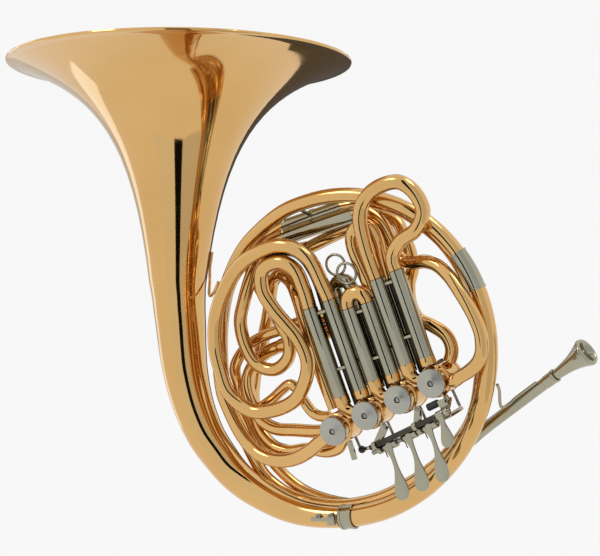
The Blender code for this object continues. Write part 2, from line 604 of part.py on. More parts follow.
def make_link(name, pin, drop):
    depth = CRANK_DEPTH + 3.2
    along = pin.dot(ROW)
    finish(bar(row_point(along, pin.dot(DROP), depth), row_point(along, drop - 2.2, depth - 2.6),
               LINK_RADIUS, 8), name + "_link", STEEL)


def make_levers():
    finish(rod_bar(-38, 44, ROD_DROP, ROD_DEPTH, ROD_RADIUS), "lever_rod", STEEL)
    blade = [(-2.5, 0, 2, 1.8), (2, 0, 5.5, 2.2), (6, 0, 3.6, 1.8), (11, 0, 2.1, 1.7), (19, 0, 2, 2)]
    blade += [(26, 0.4, 3.3, 3.3), (33, 1.4, 5.4, 5.4), (39, 2.8, 6.4, 6.4), (43, 4.0, 6.0, 6.0)]
    blade += [(45.8, 4.9, 4.2, 4.2), (47, 5.3, 1.8, 1.8)]
    for index in (1, 2, 3):
        hub_at = (index - 1.5) * 21.0 + 2.0
        hub = rod_bar(hub_at - 6.5, hub_at + 6.5, ROD_DROP, ROD_DEPTH, HUB_RADIUS)
        pin = valve(index) + crank_pin()
        pin_along = pin.dot(ROW)
        shank = (DROP - ROW * 0.19).normalized()
        side = shank.cross(BACK)
        paddle = leaf(row_point(hub_at, ROD_DROP, ROD_DEPTH - 3.2), shank, side, -BACK, blade)
        course = [(hub_at, ROD_DEPTH), (hub_at, ROD_DEPTH + 7), (pin_along, ROD_DEPTH + 12),
                  (pin_along, ROD_DEPTH + LEVER_ARM + 1)]
        arm = tube([(*row_point(a, ROD_DROP, d), ARM_RADIUS) for a, d in course], 1)
        lever = combine(hub, [as_mesh(paddle), as_mesh(arm)], "UNION")
        hole = rod_bar(hub_at - 9, hub_at + 9, ROD_DROP, ROD_DEPTH, ROD_RADIUS + GAP)
        finish(combine(lever, [hole], "DIFFERENCE"), VALVES[index] + "_finger_lever", NICKEL)
        make_link(VALVES[index], pin, ROD_DROP)
    for number, along in enumerate((-20.0, 22.6)):
        make_post(number, along)


def make_post(number, along):
    """A post from a casing's wall to the lever rod, with an ear round the thumb lever's shaft."""
    base = (number - 0.5) * VALVE_PITCH
    depth = ROD_DEPTH + 1.5
    wall = CASING_RADIUS + GAP
    foot = as_mesh(bar(row_point(base + 0.6 * wall, 0.8 * wall, depth),
                       row_point(base + 11.5, 15.3, depth), 1.8, 8))
    top = row_point(base + 11.4, 14.9, depth)
    low = row_point(along, ROD_DROP - 5.6, ROD_DEPTH + 0.5)
    way = (low - top).normalized()
    side = way.cross(BACK)
    plate = box((top + low) / 2, ((low - top).length + 1, BLADE, 5.6), (way, side.cross(way), side))
    ears = [rod_bar(along - 1.8, along + 1.8, ROD_DROP, ROD_DEPTH, 3.7),
            rod_bar(along - 1.8, along + 1.8, THUMB_DROP, THUMB_DEPTH, 3.5),
            as_mesh(bar(row_point(along, ROD_DROP, ROD_DEPTH), low, 1.7, 8)),
            as_mesh(bar(low, row_point(along, THUMB_DROP, THUMB_DEPTH), 1.7, 8))]
    post = combine(plate, [foot] + ears, "UNION")
    holes = [rod_bar(along - 5, along + 5, ROD_DROP, ROD_DEPTH, ROD_RADIUS + GAP),
             rod_bar(along - 5, along + 5, THUMB_DROP, THUMB_DEPTH, ROD_RADIUS + GAP)]
    finish(combine(post, holes, "DIFFERENCE"), "lever_post_%d" % (number + 1), NICKEL)


def make_thumb():
    pin = valve(0) + crank_pin()
    left = pin.dot(ROW)
    shaft = rod_bar(left - 1.8, 58.5, THUMB_DROP, THUMB_DEPTH, ROD_RADIUS)
    hub = rod_bar(45.5, 52.5, THUMB_DROP, THUMB_DEPTH, 3.4)
    arm = as_mesh(bar(row_point(left, THUMB_DROP, THUMB_DEPTH),
                      row_point(left, THUMB_DROP, CRANK_DEPTH + 2), 1.8, 8))
    shank = (DROP - ROW * 0.13).normalized()
    blade = [(1.0, 0, 2.6, 2.6), (8, 0, 2.4, 2.4), (14, 0.6, 4.0, 4.0), (20, 2.0, 5.6, 5.6)]
    blade += [(24.5, 3.6, 5.2, 5.2), (27, 4.6, 2.4, 2.4)]
    paddle = leaf(row_point(49.5, THUMB_DROP, THUMB_DEPTH - 2.6), shank, shank.cross(BACK), -BACK, blade)
    finish(combine(shaft, [hub, arm, as_mesh(paddle)], "UNION"), "thumb_lever", NICKEL)
    base = 1.5 * VALVE_PITCH
    depth = -9.0
    wall = CASING_RADIUS + GAP
    foot = as_mesh(bar(row_point(base + 0.15 * wall, 0.99 * wall, depth),
                       row_point(base + 3.4, 19.5, depth - 1), 2.2, 8))
    high = row_point(base + 3.2, 18.2, depth)
    low = row_point(55.5, THUMB_DROP - 2.0, THUMB_DEPTH + 1.5)
    way = (low - high).normalized()
    side = way.cross(BACK).normalized()
    plate = box((high + low) / 2, ((low - high).length + 1, BLADE, 5.6), (way, side.cross(way), side))
    ear = rod_bar(53.4, 57.4, THUMB_DROP, THUMB_DEPTH, 3.6)
    bracket = combine(ear, [plate, foot], "UNION")
    hole = rod_bar(50, 61, THUMB_DROP, THUMB_DEPTH, ROD_RADIUS + GAP)
    finish(combine(bracket, [hole], "DIFFERENCE"), "thumb_bracket", NICKEL)
    make_link("change", pin, THUMB_DROP)


def make_trim():
    for number, (across, up) in enumerate(((8.2, 129.2), (13.0, 128.7))):
        centre = slide(1, across, up, TIER + (1.6 if number else -1.6))
        curve = bpy.data.curves.new("ring", "CURVE")
        curve.dimensions = "3D"
        curve.bevel_depth = 1.2 * MM
        curve.bevel_resolution = 2
        spline = curve.splines.new("POLY")
        spline.points.add(15)
        for i, point in enumerate(spline.points):
            angle = math.tau * i / 16
            place = centre + (ACROSS * math.cos(angle) + UP * math.sin(angle)) * 8.4
            point.co = (*(place * MM), 1.0)
        spline.use_cyclic_u = True
        finish(link(bpy.data.objects.new("ring", curve)), "pull_ring_%d" % (number + 1), NICKEL)
    brace = [hoop(-5, -(GARLAND_RADIUS + GAP)), hoop(-7, -(GARLAND_RADIUS + 1.5), 4)]
    brace += laid([(93.0, 19.5, 3.5), (97.5, 24.6, 5.6), (102.2, 26.2, 10.6), (111, 26.0, 18.3)])
    brace += laid([(120.5, 25.7, 26.6)])
    finish(tube(smooth(brace, WIRE_RADIUS), 1), "leadpipe_brace", NICKEL)


make_bell()
make_hoop()
pipe_end = make_leadpipe()
return_end = make_return()
make_bow("main_tuning_bow", (pipe_end + ACROSS * 64, return_end + ACROSS * 64), ACROSS, 45, 4)
make_valve_slides()
make_loops()
make_valves()
make_levers()
make_thumb()
make_trim()
print("pieces", len(HORN.objects))
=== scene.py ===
# %% [markdown]
# A double french horn is a family of brass tubes wound round four rotary valves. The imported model
# gives every piece its place and its body, so this lesson models each piece again, finely, in the
# same place, and then lights and photographs it.

# %% Load the frame
import json
import math

import bmesh
import bpy
import numpy as np
from mathutils import Matrix, Vector


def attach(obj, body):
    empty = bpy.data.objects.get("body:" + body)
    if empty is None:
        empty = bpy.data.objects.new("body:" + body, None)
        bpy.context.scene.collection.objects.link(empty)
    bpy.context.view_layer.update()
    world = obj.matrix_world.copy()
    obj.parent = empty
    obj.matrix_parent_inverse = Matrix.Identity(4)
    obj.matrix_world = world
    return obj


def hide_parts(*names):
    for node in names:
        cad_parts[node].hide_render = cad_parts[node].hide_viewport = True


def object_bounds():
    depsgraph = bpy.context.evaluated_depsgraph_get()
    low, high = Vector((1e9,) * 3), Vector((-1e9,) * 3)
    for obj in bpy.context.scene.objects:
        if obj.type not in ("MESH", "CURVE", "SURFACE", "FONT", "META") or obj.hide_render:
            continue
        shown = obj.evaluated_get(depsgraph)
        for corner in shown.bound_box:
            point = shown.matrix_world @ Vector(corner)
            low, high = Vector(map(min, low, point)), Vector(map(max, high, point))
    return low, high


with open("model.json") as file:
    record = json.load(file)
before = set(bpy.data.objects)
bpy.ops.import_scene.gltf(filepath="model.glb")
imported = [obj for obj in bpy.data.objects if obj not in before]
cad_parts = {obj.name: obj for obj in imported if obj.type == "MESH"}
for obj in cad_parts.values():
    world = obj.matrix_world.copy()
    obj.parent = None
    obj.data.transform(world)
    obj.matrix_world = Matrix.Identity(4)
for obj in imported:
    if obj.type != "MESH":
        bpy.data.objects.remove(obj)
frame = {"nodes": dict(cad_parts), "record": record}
cad_box = [[float(v) for v in corner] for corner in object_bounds()]
bpy.ops.object.select_all(action="DESELECT")
behaviour = frame["record"]["behaviour"]["bodies"]
body_of_node = {node: body for body, nodes in behaviour.items() for node in nodes}
slot_of_node = {row["node"]: row["material_slot"] for row in frame["record"]["subparts"]}

# %% [markdown]
# Lacquered brass is a warm metal under a thin clear coat. Seen close, its colour drifts where the
# lacquer is thicker, old polishing has left fine marks, and touch has left faint cloudy patches.
# One recipe makes all three metals of the horn: a slow cloud for colour, a second cloud for haze,
# and a very fine noise for the polishing marks. The colours and the amount of haze differ.

# %% Metals
def make_metal(name, colour, darker, smooth_part, hazy_part, coat, cloud_size):
    metal = bpy.data.materials.new(name)
    metal.use_nodes = True
    nodes = metal.node_tree.nodes
    links = metal.node_tree.links
    shader = nodes["Principled BSDF"]
    shader.inputs["Metallic"].default_value = 1.0
    shader.inputs["Coat Weight"].default_value = coat
    shader.inputs["Coat Roughness"].default_value = 0.04
    place = nodes.new("ShaderNodeTexCoord")
    cloud = nodes.new("ShaderNodeTexNoise")
    cloud.inputs["Scale"].default_value = cloud_size
    cloud.inputs["Detail"].default_value = 5.0
    links.new(place.outputs["Object"], cloud.inputs["Vector"])
    tint = nodes.new("ShaderNodeValToRGB")
    tint.color_ramp.elements[0].position = 0.32
    tint.color_ramp.elements[0].color = (*darker, 1.0)
    tint.color_ramp.elements[1].position = 0.62
    tint.color_ramp.elements[1].color = (*colour, 1.0)
    links.new(cloud.outputs["Fac"], tint.inputs["Fac"])
    links.new(tint.outputs["Color"], shader.inputs["Base Color"])
    haze = nodes.new("ShaderNodeTexNoise")
    haze.inputs["Scale"].default_value = cloud_size * 4.0
    haze.inputs["Detail"].default_value = 6.0
    haze.inputs["Roughness"].default_value = 0.65
    links.new(place.outputs["Object"], haze.inputs["Vector"])
    wear = nodes.new("ShaderNodeMapRange")
    wear.inputs["From Min"].default_value = 0.35
    wear.inputs["From Max"].default_value = 0.75
    wear.inputs["To Min"].default_value = smooth_part
    wear.inputs["To Max"].default_value = hazy_part
    links.new(haze.outputs["Fac"], wear.inputs["Value"])
    links.new(wear.outputs["Result"], shader.inputs["Roughness"])
    marks = nodes.new("ShaderNodeTexNoise")
    marks.inputs["Scale"].default_value = 600.0
    marks.inputs["Detail"].default_value = 2.0
    links.new(place.outputs["Object"], marks.inputs["Vector"])
    bump = nodes.new("ShaderNodeBump")
    bump.inputs["Strength"].default_value = 0.03
    bump.inputs["Distance"].default_value = 0.0002
    links.new(marks.outputs["Fac"], bump.inputs["Height"])
    links.new(bump.outputs["Normal"], shader.inputs["Normal"])
    return metal


metals = {
    "lacquered_brass": make_metal("lacquered brass", (0.715, 0.432, 0.158), (0.640, 0.374, 0.124),
                                  0.05, 0.10, 0.35, 7.0),
    "nickel_silver": make_metal("nickel silver", (0.395, 0.372, 0.278), (0.345, 0.325, 0.236),
                                0.05, 0.11, 0.0, 24.0),
    "steel": make_metal("steel", (0.300, 0.295, 0.270), (0.220, 0.215, 0.195),
                        0.14, 0.30, 0.0, 60.0),
    "satin_nickel": make_metal("satin nickel", (0.440, 0.430, 0.365), (0.410, 0.400, 0.335),
                               0.30, 0.42, 0.0, 40.0),
}
for node, cad in frame["nodes"].items():
    for holder in cad.material_slots:
        holder.material = metals[slot_of_node[node]]
print("metals", ", ".join(metals))

# %% [markdown]
# Black parts are few: the rubber bumpers, the ball joints of the links and the cork plates. They
# are a matt black with a fine grain.

# %% Black rubber and cork
black = bpy.data.materials.new("black rubber")
black.use_nodes = True
rubber = black.node_tree.nodes["Principled BSDF"]
rubber.inputs["Roughness"].default_value = 0.45
grain = black.node_tree.nodes.new("ShaderNodeTexNoise")
grain.inputs["Scale"].default_value = 900.0
grain_place = black.node_tree.nodes.new("ShaderNodeTexCoord")
black.node_tree.links.new(grain_place.outputs["Object"], grain.inputs["Vector"])
shade = black.node_tree.nodes.new("ShaderNodeValToRGB")
shade.color_ramp.elements[0].color = (0.006, 0.006, 0.006, 1.0)
shade.color_ramp.elements[1].color = (0.030, 0.029, 0.028, 1.0)
black.node_tree.links.new(grain.outputs["Fac"], shade.inputs["Fac"])
black.node_tree.links.new(shade.outputs["Color"], rubber.inputs["Base Color"])
print(black.name)

# %% [markdown]
# Lengths below are in millimetres, as a maker writes them, and become metres as each piece is
# made. Every piece ends in the same way: its place goes into its mesh, doubled points are merged,
# the shading stops at real edges, and it takes its metal and rides on the body of the node it
# stands for. Smaller fittings stand for no node, so they only ride on a body.

# %% Finish a piece
MM = 0.001
GAP = 0.3
GOLD = "lacquered_brass"
NICKEL = "nickel_silver"
STEEL = "steel"
made = []


def only(piece):
    bpy.ops.object.select_all(action="DESELECT")
    piece.select_set(True)
    bpy.context.view_layer.objects.active = piece


def weld(piece):
    only(piece)
    bpy.ops.object.mode_set(mode="EDIT")
    bpy.ops.mesh.select_all(action="SELECT")
    bpy.ops.mesh.remove_doubles(threshold=0.000008)
    bpy.ops.mesh.normals_make_consistent(inside=False)
    bpy.ops.object.mode_set(mode="OBJECT")


def settle(piece, angle=34):
    only(piece)
    bpy.ops.object.transform_apply(location=True, rotation=True, scale=True)
    weld(piece)
    bpy.ops.object.shade_smooth_by_angle(angle=math.radians(angle))
    piece.data.materials.clear()


def finish(piece, node, slot):
    """Let a fine piece stand for a node of the frame."""
    settle(piece)
    piece.name = "fine_" + node
    piece.data.materials.append(metals[slot])
    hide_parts(node)
    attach(piece, body_of_node[node])
    made.append(piece)
    return piece


def fit(piece, name, carrier, slot, paint=None):
    """Put a small fitting on the body that carries a node."""
    settle(piece)
    piece.name = name
    piece.data.materials.append(paint or metals[slot])
    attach(piece, body_of_node[carrier])
    made.append(piece)
    return piece


def report(title):
    faces = sum(len(piece.data.polygons) for piece in made)
    print(title, len(made), "pieces so far,", faces, "faces")

# %% [markdown]
# A bent tube is drawn as a path and given a round section, as a maker fills a tube with pitch and
# bends it round a former. The path is a smooth curve through a few points, with a ring wherever
# it has turned a little, so the highlights run along it without steps. A radius at each point
# lets a tube taper or step up at a ferrule.

# %% Bend a tube
def smooth(points, radius, turn=3.0):
    """A smooth curve through the points, with a ring wherever it has turned by the given angle."""
    turn = min(turn, 3.0)
    rows = [(*p[:3], p[3] if len(p) > 3 else radius) for p in points]
    rows = np.array(rows, float)
    if len(rows) < 3:
        return rows
    step = np.linalg.norm(np.diff(rows[:, :3], axis=0), axis=1) ** 0.5
    slope = np.zeros_like(rows)
    for i in range(1, len(rows) - 1):
        before = (rows[i] - rows[i - 1]) / step[i - 1]
        after = (rows[i + 1] - rows[i]) / step[i]
        slope[i] = (before * step[i] + after * step[i - 1]) / (step[i] + step[i - 1])
    slope[0] = 2 * (rows[1] - rows[0]) / step[0] - slope[1]
    slope[-1] = 2 * (rows[-1] - rows[-2]) / step[-1] - slope[-2]
    dense = []
    for i in range(len(rows) - 1):
        for s in np.linspace(0, 1, 16, endpoint=False):
            a = 2 * s ** 3 - 3 * s * s + 1
            b = (s ** 3 - 2 * s * s + s) * step[i]
            c = (s ** 3 - s * s) * step[i]
            dense.append(a * rows[i] + b * slope[i] + (1 - a) * rows[i + 1] + c * slope[i + 1])
    dense.append(rows[-1])
    dense = np.array(dense)
    heads = np.diff(dense[:, :3], axis=0)
    heads /= np.linalg.norm(heads, axis=1)[:, None]
    kept = [dense[0]]
    turned_by = 0.0
    for i in range(1, len(dense) - 1):
        turned_by += math.degrees(math.acos(min(1.0, float(heads[i - 1] @ heads[i]))))
        if turned_by >= turn:
            kept.append(dense[i])
            turned_by = 0.0
    if np.linalg.norm(kept[-1][:3] - dense[-1][:3]) < 2.5 and len(kept) > 1:
        kept.pop()
    kept.append(dense[-1])
    return np.array(kept)


def tube(rows, sides=9, caps=True):
    bpy.ops.object.select_all(action="DESELECT")
    bpy.ops.curve.primitive_nurbs_path_add()
    path = bpy.context.active_object
    path.data.splines.clear()
    spline = path.data.splines.new("POLY")
    spline.points.add(len(rows) - 1)
    for point, row in zip(spline.points, rows):
        point.co = (row[0] * MM, row[1] * MM, row[2] * MM, 1.0)
        point.radius = row[3]
    path.data.bevel_depth = MM
    path.data.bevel_resolution = max(sides, 9)
    path.data.use_fill_caps = caps
    bpy.ops.object.convert(target="MESH")
    weld(bpy.context.active_object)
    return bpy.context.active_object

# %% [markdown]
# Straight rods, legs and pins start as a cylinder. The edges round its two ends, which lie square to
# its axis, get a small bevel, because a real rod's end is broken with a file and catches the light there.

# %% A round bar
def bar(start, end, radius, sides=12):
    start = Vector(start)
    end = Vector(end)
    length = (end - start).length
    bpy.ops.object.select_all(action="DESELECT")
    bpy.ops.mesh.primitive_cylinder_add(vertices=max(sides, 32), radius=radius * MM, depth=length * MM)
    rod = bpy.context.active_object
    bpy.ops.object.mode_set(mode="EDIT")
    bpy.ops.mesh.select_mode(type="EDGE")
    bpy.ops.mesh.select_all(action="DESELECT")
    shape = bmesh.from_edit_mesh(rod.data)
    for edge in shape.edges:
        edge.select = abs(edge.verts[0].co.z - edge.verts[1].co.z) < 1e-7
    bmesh.update_edit_mesh(rod.data)
    bpy.ops.mesh.bevel(offset=min(0.3, radius * 0.12) * MM, segments=2, affect="EDGES")
    bpy.ops.mesh.select_mode(type="VERT")
    bpy.ops.object.mode_set(mode="OBJECT")
    turn = (end - start).to_track_quat("Z", "Y").to_matrix().to_4x4()
    rod.matrix_world = Matrix.Translation((start + end) / 2 * MM) @ turn
    return rod


def ball(centre, radius, flat=1.0, axis=(0, 1, 0)):
    """A ball, or a low dome where it is flattened along its axis."""
    bpy.ops.object.select_all(action="DESELECT")
    bpy.ops.mesh.primitive_uv_sphere_add(segments=32, ring_count=16, radius=radius * MM)
    piece = bpy.context.active_object
    turn = Vector(axis).to_track_quat("Z", "Y").to_matrix().to_4x4()
    piece.matrix_world = Matrix.Translation(Vector(centre) * MM) @ turn @ Matrix.Diagonal((1, 1, flat, 1))
    return piece


def as_mesh(piece):
    """Write a piece's place into its mesh, before it is joined or cut."""
    only(piece)
    bpy.ops.object.transform_apply(location=True, rotation=True, scale=True)
    return piece


def combine(first, others, operation):
    """Join pieces into the first one, or cut them out of it."""
    for other in others:
        only(first)
        bpy.ops.object.modifier_add(type="BOOLEAN")
        change = first.modifiers[-1]
        change.operation = operation
        change.object = other
        bpy.ops.object.modifier_apply(modifier=change.name)
        bpy.data.objects.remove(other)
    return first


def sink_hole(piece, mouth, depth, wall):
    """Open the flat end of a tube: its end face is inset by the wall and pushed down."""
    only(piece)
    bpy.ops.object.mode_set(mode="EDIT")
    bpy.ops.mesh.select_mode(type="FACE")
    bpy.ops.mesh.select_all(action="DESELECT")
    shape = bmesh.from_edit_mesh(piece.data)
    mouth = Vector(mouth) * MM
    end = min(shape.faces, key=lambda face: (face.calc_center_median() - mouth).length)
    end.select = True
    inward = -end.normal * depth * MM
    bmesh.update_edit_mesh(piece.data)
    bpy.ops.mesh.inset(thickness=wall * MM)
    bpy.ops.mesh.extrude_region_move(TRANSFORM_OT_translate={"value": inward})
    bpy.ops.mesh.select_mode(type="VERT")
    bpy.ops.object.mode_set(mode="OBJECT")
    return piece

# %% [markdown]
# Bells, cups, caps and bands are turned. A circle is the first ring, and each further ring is
# extruded along the axis and resized, which follows the profile as a tool follows it on a lathe.
# The last ring meets the first one, so the wall is closed.

# %% Turn a piece on the lathe
def turned(profile, centre, axis, steps=64):
    bpy.ops.object.select_all(action="DESELECT")
    bpy.ops.mesh.primitive_circle_add(vertices=max(steps, 64), radius=1.0)
    piece = bpy.context.active_object
    bpy.ops.object.mode_set(mode="EDIT")
    bpy.ops.mesh.select_all(action="SELECT")
    radius, height = profile[0]
    bpy.ops.transform.resize(value=(radius * MM, radius * MM, 1.0), center_override=(0, 0, 0))
    bpy.ops.transform.translate(value=(0, 0, height * MM))
    for wider, higher in list(profile[1:]) + [profile[0]]:
        bpy.ops.mesh.extrude_region_move(TRANSFORM_OT_translate={"value": (0, 0, (higher - height) * MM)})
        scale = wider / radius
        bpy.ops.transform.resize(value=(scale, scale, 1.0), center_override=(0, 0, higher * MM))
        radius, height = wider, higher
    bpy.ops.mesh.select_all(action="SELECT")
    bpy.ops.mesh.remove_doubles(threshold=0.00001)
    bpy.ops.object.mode_set(mode="OBJECT")
    turn = Vector(axis).to_track_quat("Z", "Y").to_matrix().to_4x4()
    piece.matrix_world = Matrix.Translation(Vector(centre) * MM) @ turn
    return piece

# %% [markdown]
# The horn's places follow three directions: along the row of valves, down from it, and back. The
# slides lean by their own angle. The big hoop is a tilted oval, so its points come from its axes.

# %% Places on the horn
VALVE_PITCH = 34.9
ROW_TILT = 30.7
CASING_RADIUS = 14.0
CASING_LENGTH = 31.0
LEG_TILT = 22.0
HOOP_CENTRE = (-52.2, 30.1)
HOOP_BREADTH = 130.2
HOOP_HEIGHT = 150.2
HOOP_TILT = -37.4
HOOP_DEPTH = 7.5
ROW = Vector((math.cos(math.radians(ROW_TILT)), 0, math.sin(math.radians(ROW_TILT))))
DROP = Vector((ROW.z, 0, -ROW.x))
BACK = Vector((0, 1, 0))
ACROSS = Vector((math.cos(math.radians(LEG_TILT)), 0, math.sin(math.radians(LEG_TILT))))
UP = Vector((-ACROSS.z, 0, ACROSS.x))


def row_point(along, drop, depth):
    """A point by its place along the valve row, below it and behind its middle plane."""
    return ROW * along + DROP * drop + BACK * depth


def valve(index):
    return row_point((index - 1.5) * VALVE_PITCH, 0, 0)


def slide(index, across, up, depth):
    """A point of a valve's slides: across and up along the tilted legs."""
    return valve(index) + ACROSS * across + UP * up + BACK * depth


def port(index, angle, out, depth):
    """A point square to a casing's wall, at an angle round the valve and some way out."""
    reach = CASING_RADIUS + GAP + out
    turn = math.radians(angle)
    return valve(index) + Vector((reach * math.cos(turn), depth, reach * math.sin(turn)))


def hoop(angle, inward=0.0, behind=0.0):
    """A point by the oval hoop, at an angle from the right, moved inward and behind."""
    t = math.radians(angle - HOOP_TILT)
    x = HOOP_BREADTH * math.cos(t)
    z = HOOP_HEIGHT * math.sin(t)
    normal = Vector((x / HOOP_BREADTH ** 2, z / HOOP_HEIGHT ** 2)).normalized()
    x -= inward * normal.x
    z -= inward * normal.y
    c = math.cos(math.radians(HOOP_TILT))
    s = math.sin(math.radians(HOOP_TILT))
    return (HOOP_CENTRE[0] + x * c - z * s, HOOP_DEPTH + behind, HOOP_CENTRE[1] + x * s + z * c)


def laid(points):
    """Listed points of a course. They are written for a hoop 150.2 high and grow with it."""
    spread = HOOP_HEIGHT / 150.2
    return [tuple(v * spread for v in p[:3]) + tuple(p[3:]) for p in points]


print("hoop crest", [round(v) for v in hoop(90)], "first valve", [round(v) for v in valve(3)])

# %% [markdown]
# The bell flares by one law: its radius falls as a power of the length from the rim. It is turned
# from sheet brass with a wire rolled into its rim. Below it the tail is a long tapering tube that
# bends round to the hoop's garland, where its inside stays open. A bent wire braces it to the
# hoop.

# %% The bell
BELL_RADIUS = 154.5
BELL_FORM = 64.2
BELL_POWER = 1.27
BELL_WALL = 1.0
BELL_RIM = (-255.8, 90.9, 262.1)
BELL_AXIS = (-0.1395, 0.2718, 0.9522)
FLARE_LENGTH = 200.0
GARLAND_ANGLE = -83.5
GARLAND_RADIUS = 9.3
WIRE_RADIUS = 1.3
TAIL_COURSE = ((0.030, -3.3, -0.9, -3.0), (0.061, -7.2, -2.6, -5.9), (0.130, -15.1, -5.3, -12.4),
               (0.202, -24.2, -7.0, -19.7), (0.266, -32.0, -7.4, -26.3), (0.340, -38.4, -8.4, -33.3),
               (0.403, -42.1, -8.6, -39.0), (0.477, -44.0, -8.3, -44.3), (0.544, -42.5, -7.9, -46.9),
               (0.612, -39.8, -7.3, -48.1), (0.677, -35.1, -6.9, -46.0), (0.748, -28.6, -6.2, -40.7),
               (0.818, -21.4, -4.8, -33.6), (0.891, -12.8, -3.1, -22.6))
TAIL_POWER = 0.85


def bell_radius(length):
    """The bore's radius at a length from the rim, one law from the rim to the garland."""
    return BELL_RADIUS * (BELL_FORM / (length + BELL_FORM)) ** BELL_POWER


def make_bell():
    stations = [0, 1.5, 3, 5, 7, 10, 13, 17, 21, 26, 32, 39, 46, 55, 64, 76,
                88, 103, 118, 136, 155, 177, FLARE_LENGTH]
    outer = [(bell_radius(s), -s) for s in stations]
    inner = [(bell_radius(s) - BELL_WALL, -s) for s in reversed(stations)]
    bead = [(BELL_RADIUS - BELL_WALL, 0.4), (BELL_RADIUS - 0.4, 1.3), (BELL_RADIUS + 0.4, 1.5),
            (BELL_RADIUS + 1.1, 1.0), (BELL_RADIUS + 1.4, 0.1), (BELL_RADIUS + 1.0, -0.9),
            (BELL_RADIUS + 0.2, -1.4)]
    flare = turned(bead + outer[1:] + inner[:-1], BELL_RIM, BELL_AXIS, 160)
    finish(flare, "bell_flare", GOLD)
    axis = Vector(BELL_AXIS).normalized()
    start = Vector(BELL_RIM) - axis * FLARE_LENGTH
    end = Vector(hoop(GARLAND_ANGLE - 1.2))
    outside = [tuple(start - axis * 3)]
    for share, *off in TAIL_COURSE:
        outside.append(tuple(start.lerp(end, share) + Vector(laid([off])[0])))
    outside.append(tuple(end))
    rows = np.vstack([(*start, 0), smooth(outside, 0, 0.7)])
    along = np.cumsum(np.linalg.norm(np.diff(rows[:, :3], axis=0), axis=1))
    wide = bell_radius(FLARE_LENGTH)
    rows[0, 3] = wide
    rows[1:, 3] = wide + (GARLAND_RADIUS - wide) * (along / along[-1]) ** TAIL_POWER
    rows[1:, 3] -= 0.07 * along * np.exp(-along / 15)
    lead = np.array([(*(start + axis * k), wide) for k in range(60, 0, -2)])
    path = np.vstack([lead, rows])
    reach = np.concatenate([[0.0], np.cumsum(np.linalg.norm(np.diff(path[:, :3], axis=0), axis=1))])
    even = np.arange(0.0, reach[-1], 2.0)
    path = np.stack([np.interp(even, reach, path[:, k]) for k in range(4)], axis=1)
    bump = np.exp(-0.5 * (np.arange(-15, 16) / 3.5) ** 2)
    eased = path.copy()
    for k in range(3):
        eased[15:-15, k] = np.convolve(path[:, k], bump / bump.sum(), "valid")
    near_seam = np.exp(-((even - 60.0) / 28.0) ** 2)[:, None]
    rows = (path * (1 - near_seam) + eased * near_seam)[28:]
    rows[:2, 3] = wide - 0.2
    tail = as_mesh(tube(rows, 22, caps=False))
    bpy.ops.object.modifier_add(type="SOLIDIFY")
    tail.modifiers[-1].thickness = BELL_WALL * MM
    tail.modifiers[-1].offset = -1.0
    bpy.ops.object.modifier_apply(modifier=tail.modifiers[-1].name)
    finish(tail, "bell_tail", GOLD)
    outward = (Vector((1, 0.36, 0)) - axis * axis.dot(Vector((1, 0.36, 0)))).normalized()
    wire = []
    for share, clear in ((0.86, 0), (0.9, 0), (0.94, 0.3), (0.985, 1.6)):
        level = Vector(BELL_RIM) - axis * share * FLARE_LENGTH
        reach = bell_radius(share * FLARE_LENGTH) + WIRE_RADIUS + GAP + clear
        wire.append(tuple(level + outward * reach))
    wire += laid([(-192.5, 31, 67.4), (-183.5, 19, 68.6), (-175.5, 11.5, 76), (-170.2, 8.5, 84.9)])
    finish(tube(smooth(wire, WIRE_RADIUS), 1), "bell_brace", GOLD)


make_bell()
report("bell")

# %% [markdown]
# The second branch is the widest part of the hoop. A broad garland with raised edges joins it to
# the tail, and a plain ferrule joins it to the narrower first branch, which runs over the top and
# down the left side into the change valve.

# %% The hoop
TIER = 7.5
FERRULE_ANGLE = 41.5
SMALL_END_RADIUS = 6.3


def band(angle, inside, half, name):
    """A sleeve of the hoop, with a raised edge at each end."""
    away = Vector(hoop(angle + 1)) - Vector(hoop(angle - 1))
    rim = min(2.0, half / 3)
    profile = [(inside, half), (inside + 1.3, half), (inside + 1.3, half - rim),
               (inside + 0.8, half - rim), (inside + 0.8, rim - half), (inside + 1.3, rim - half),
               (inside + 1.3, -half), (inside, -half)]
    finish(turned(profile, hoop(angle), away), name, NICKEL)


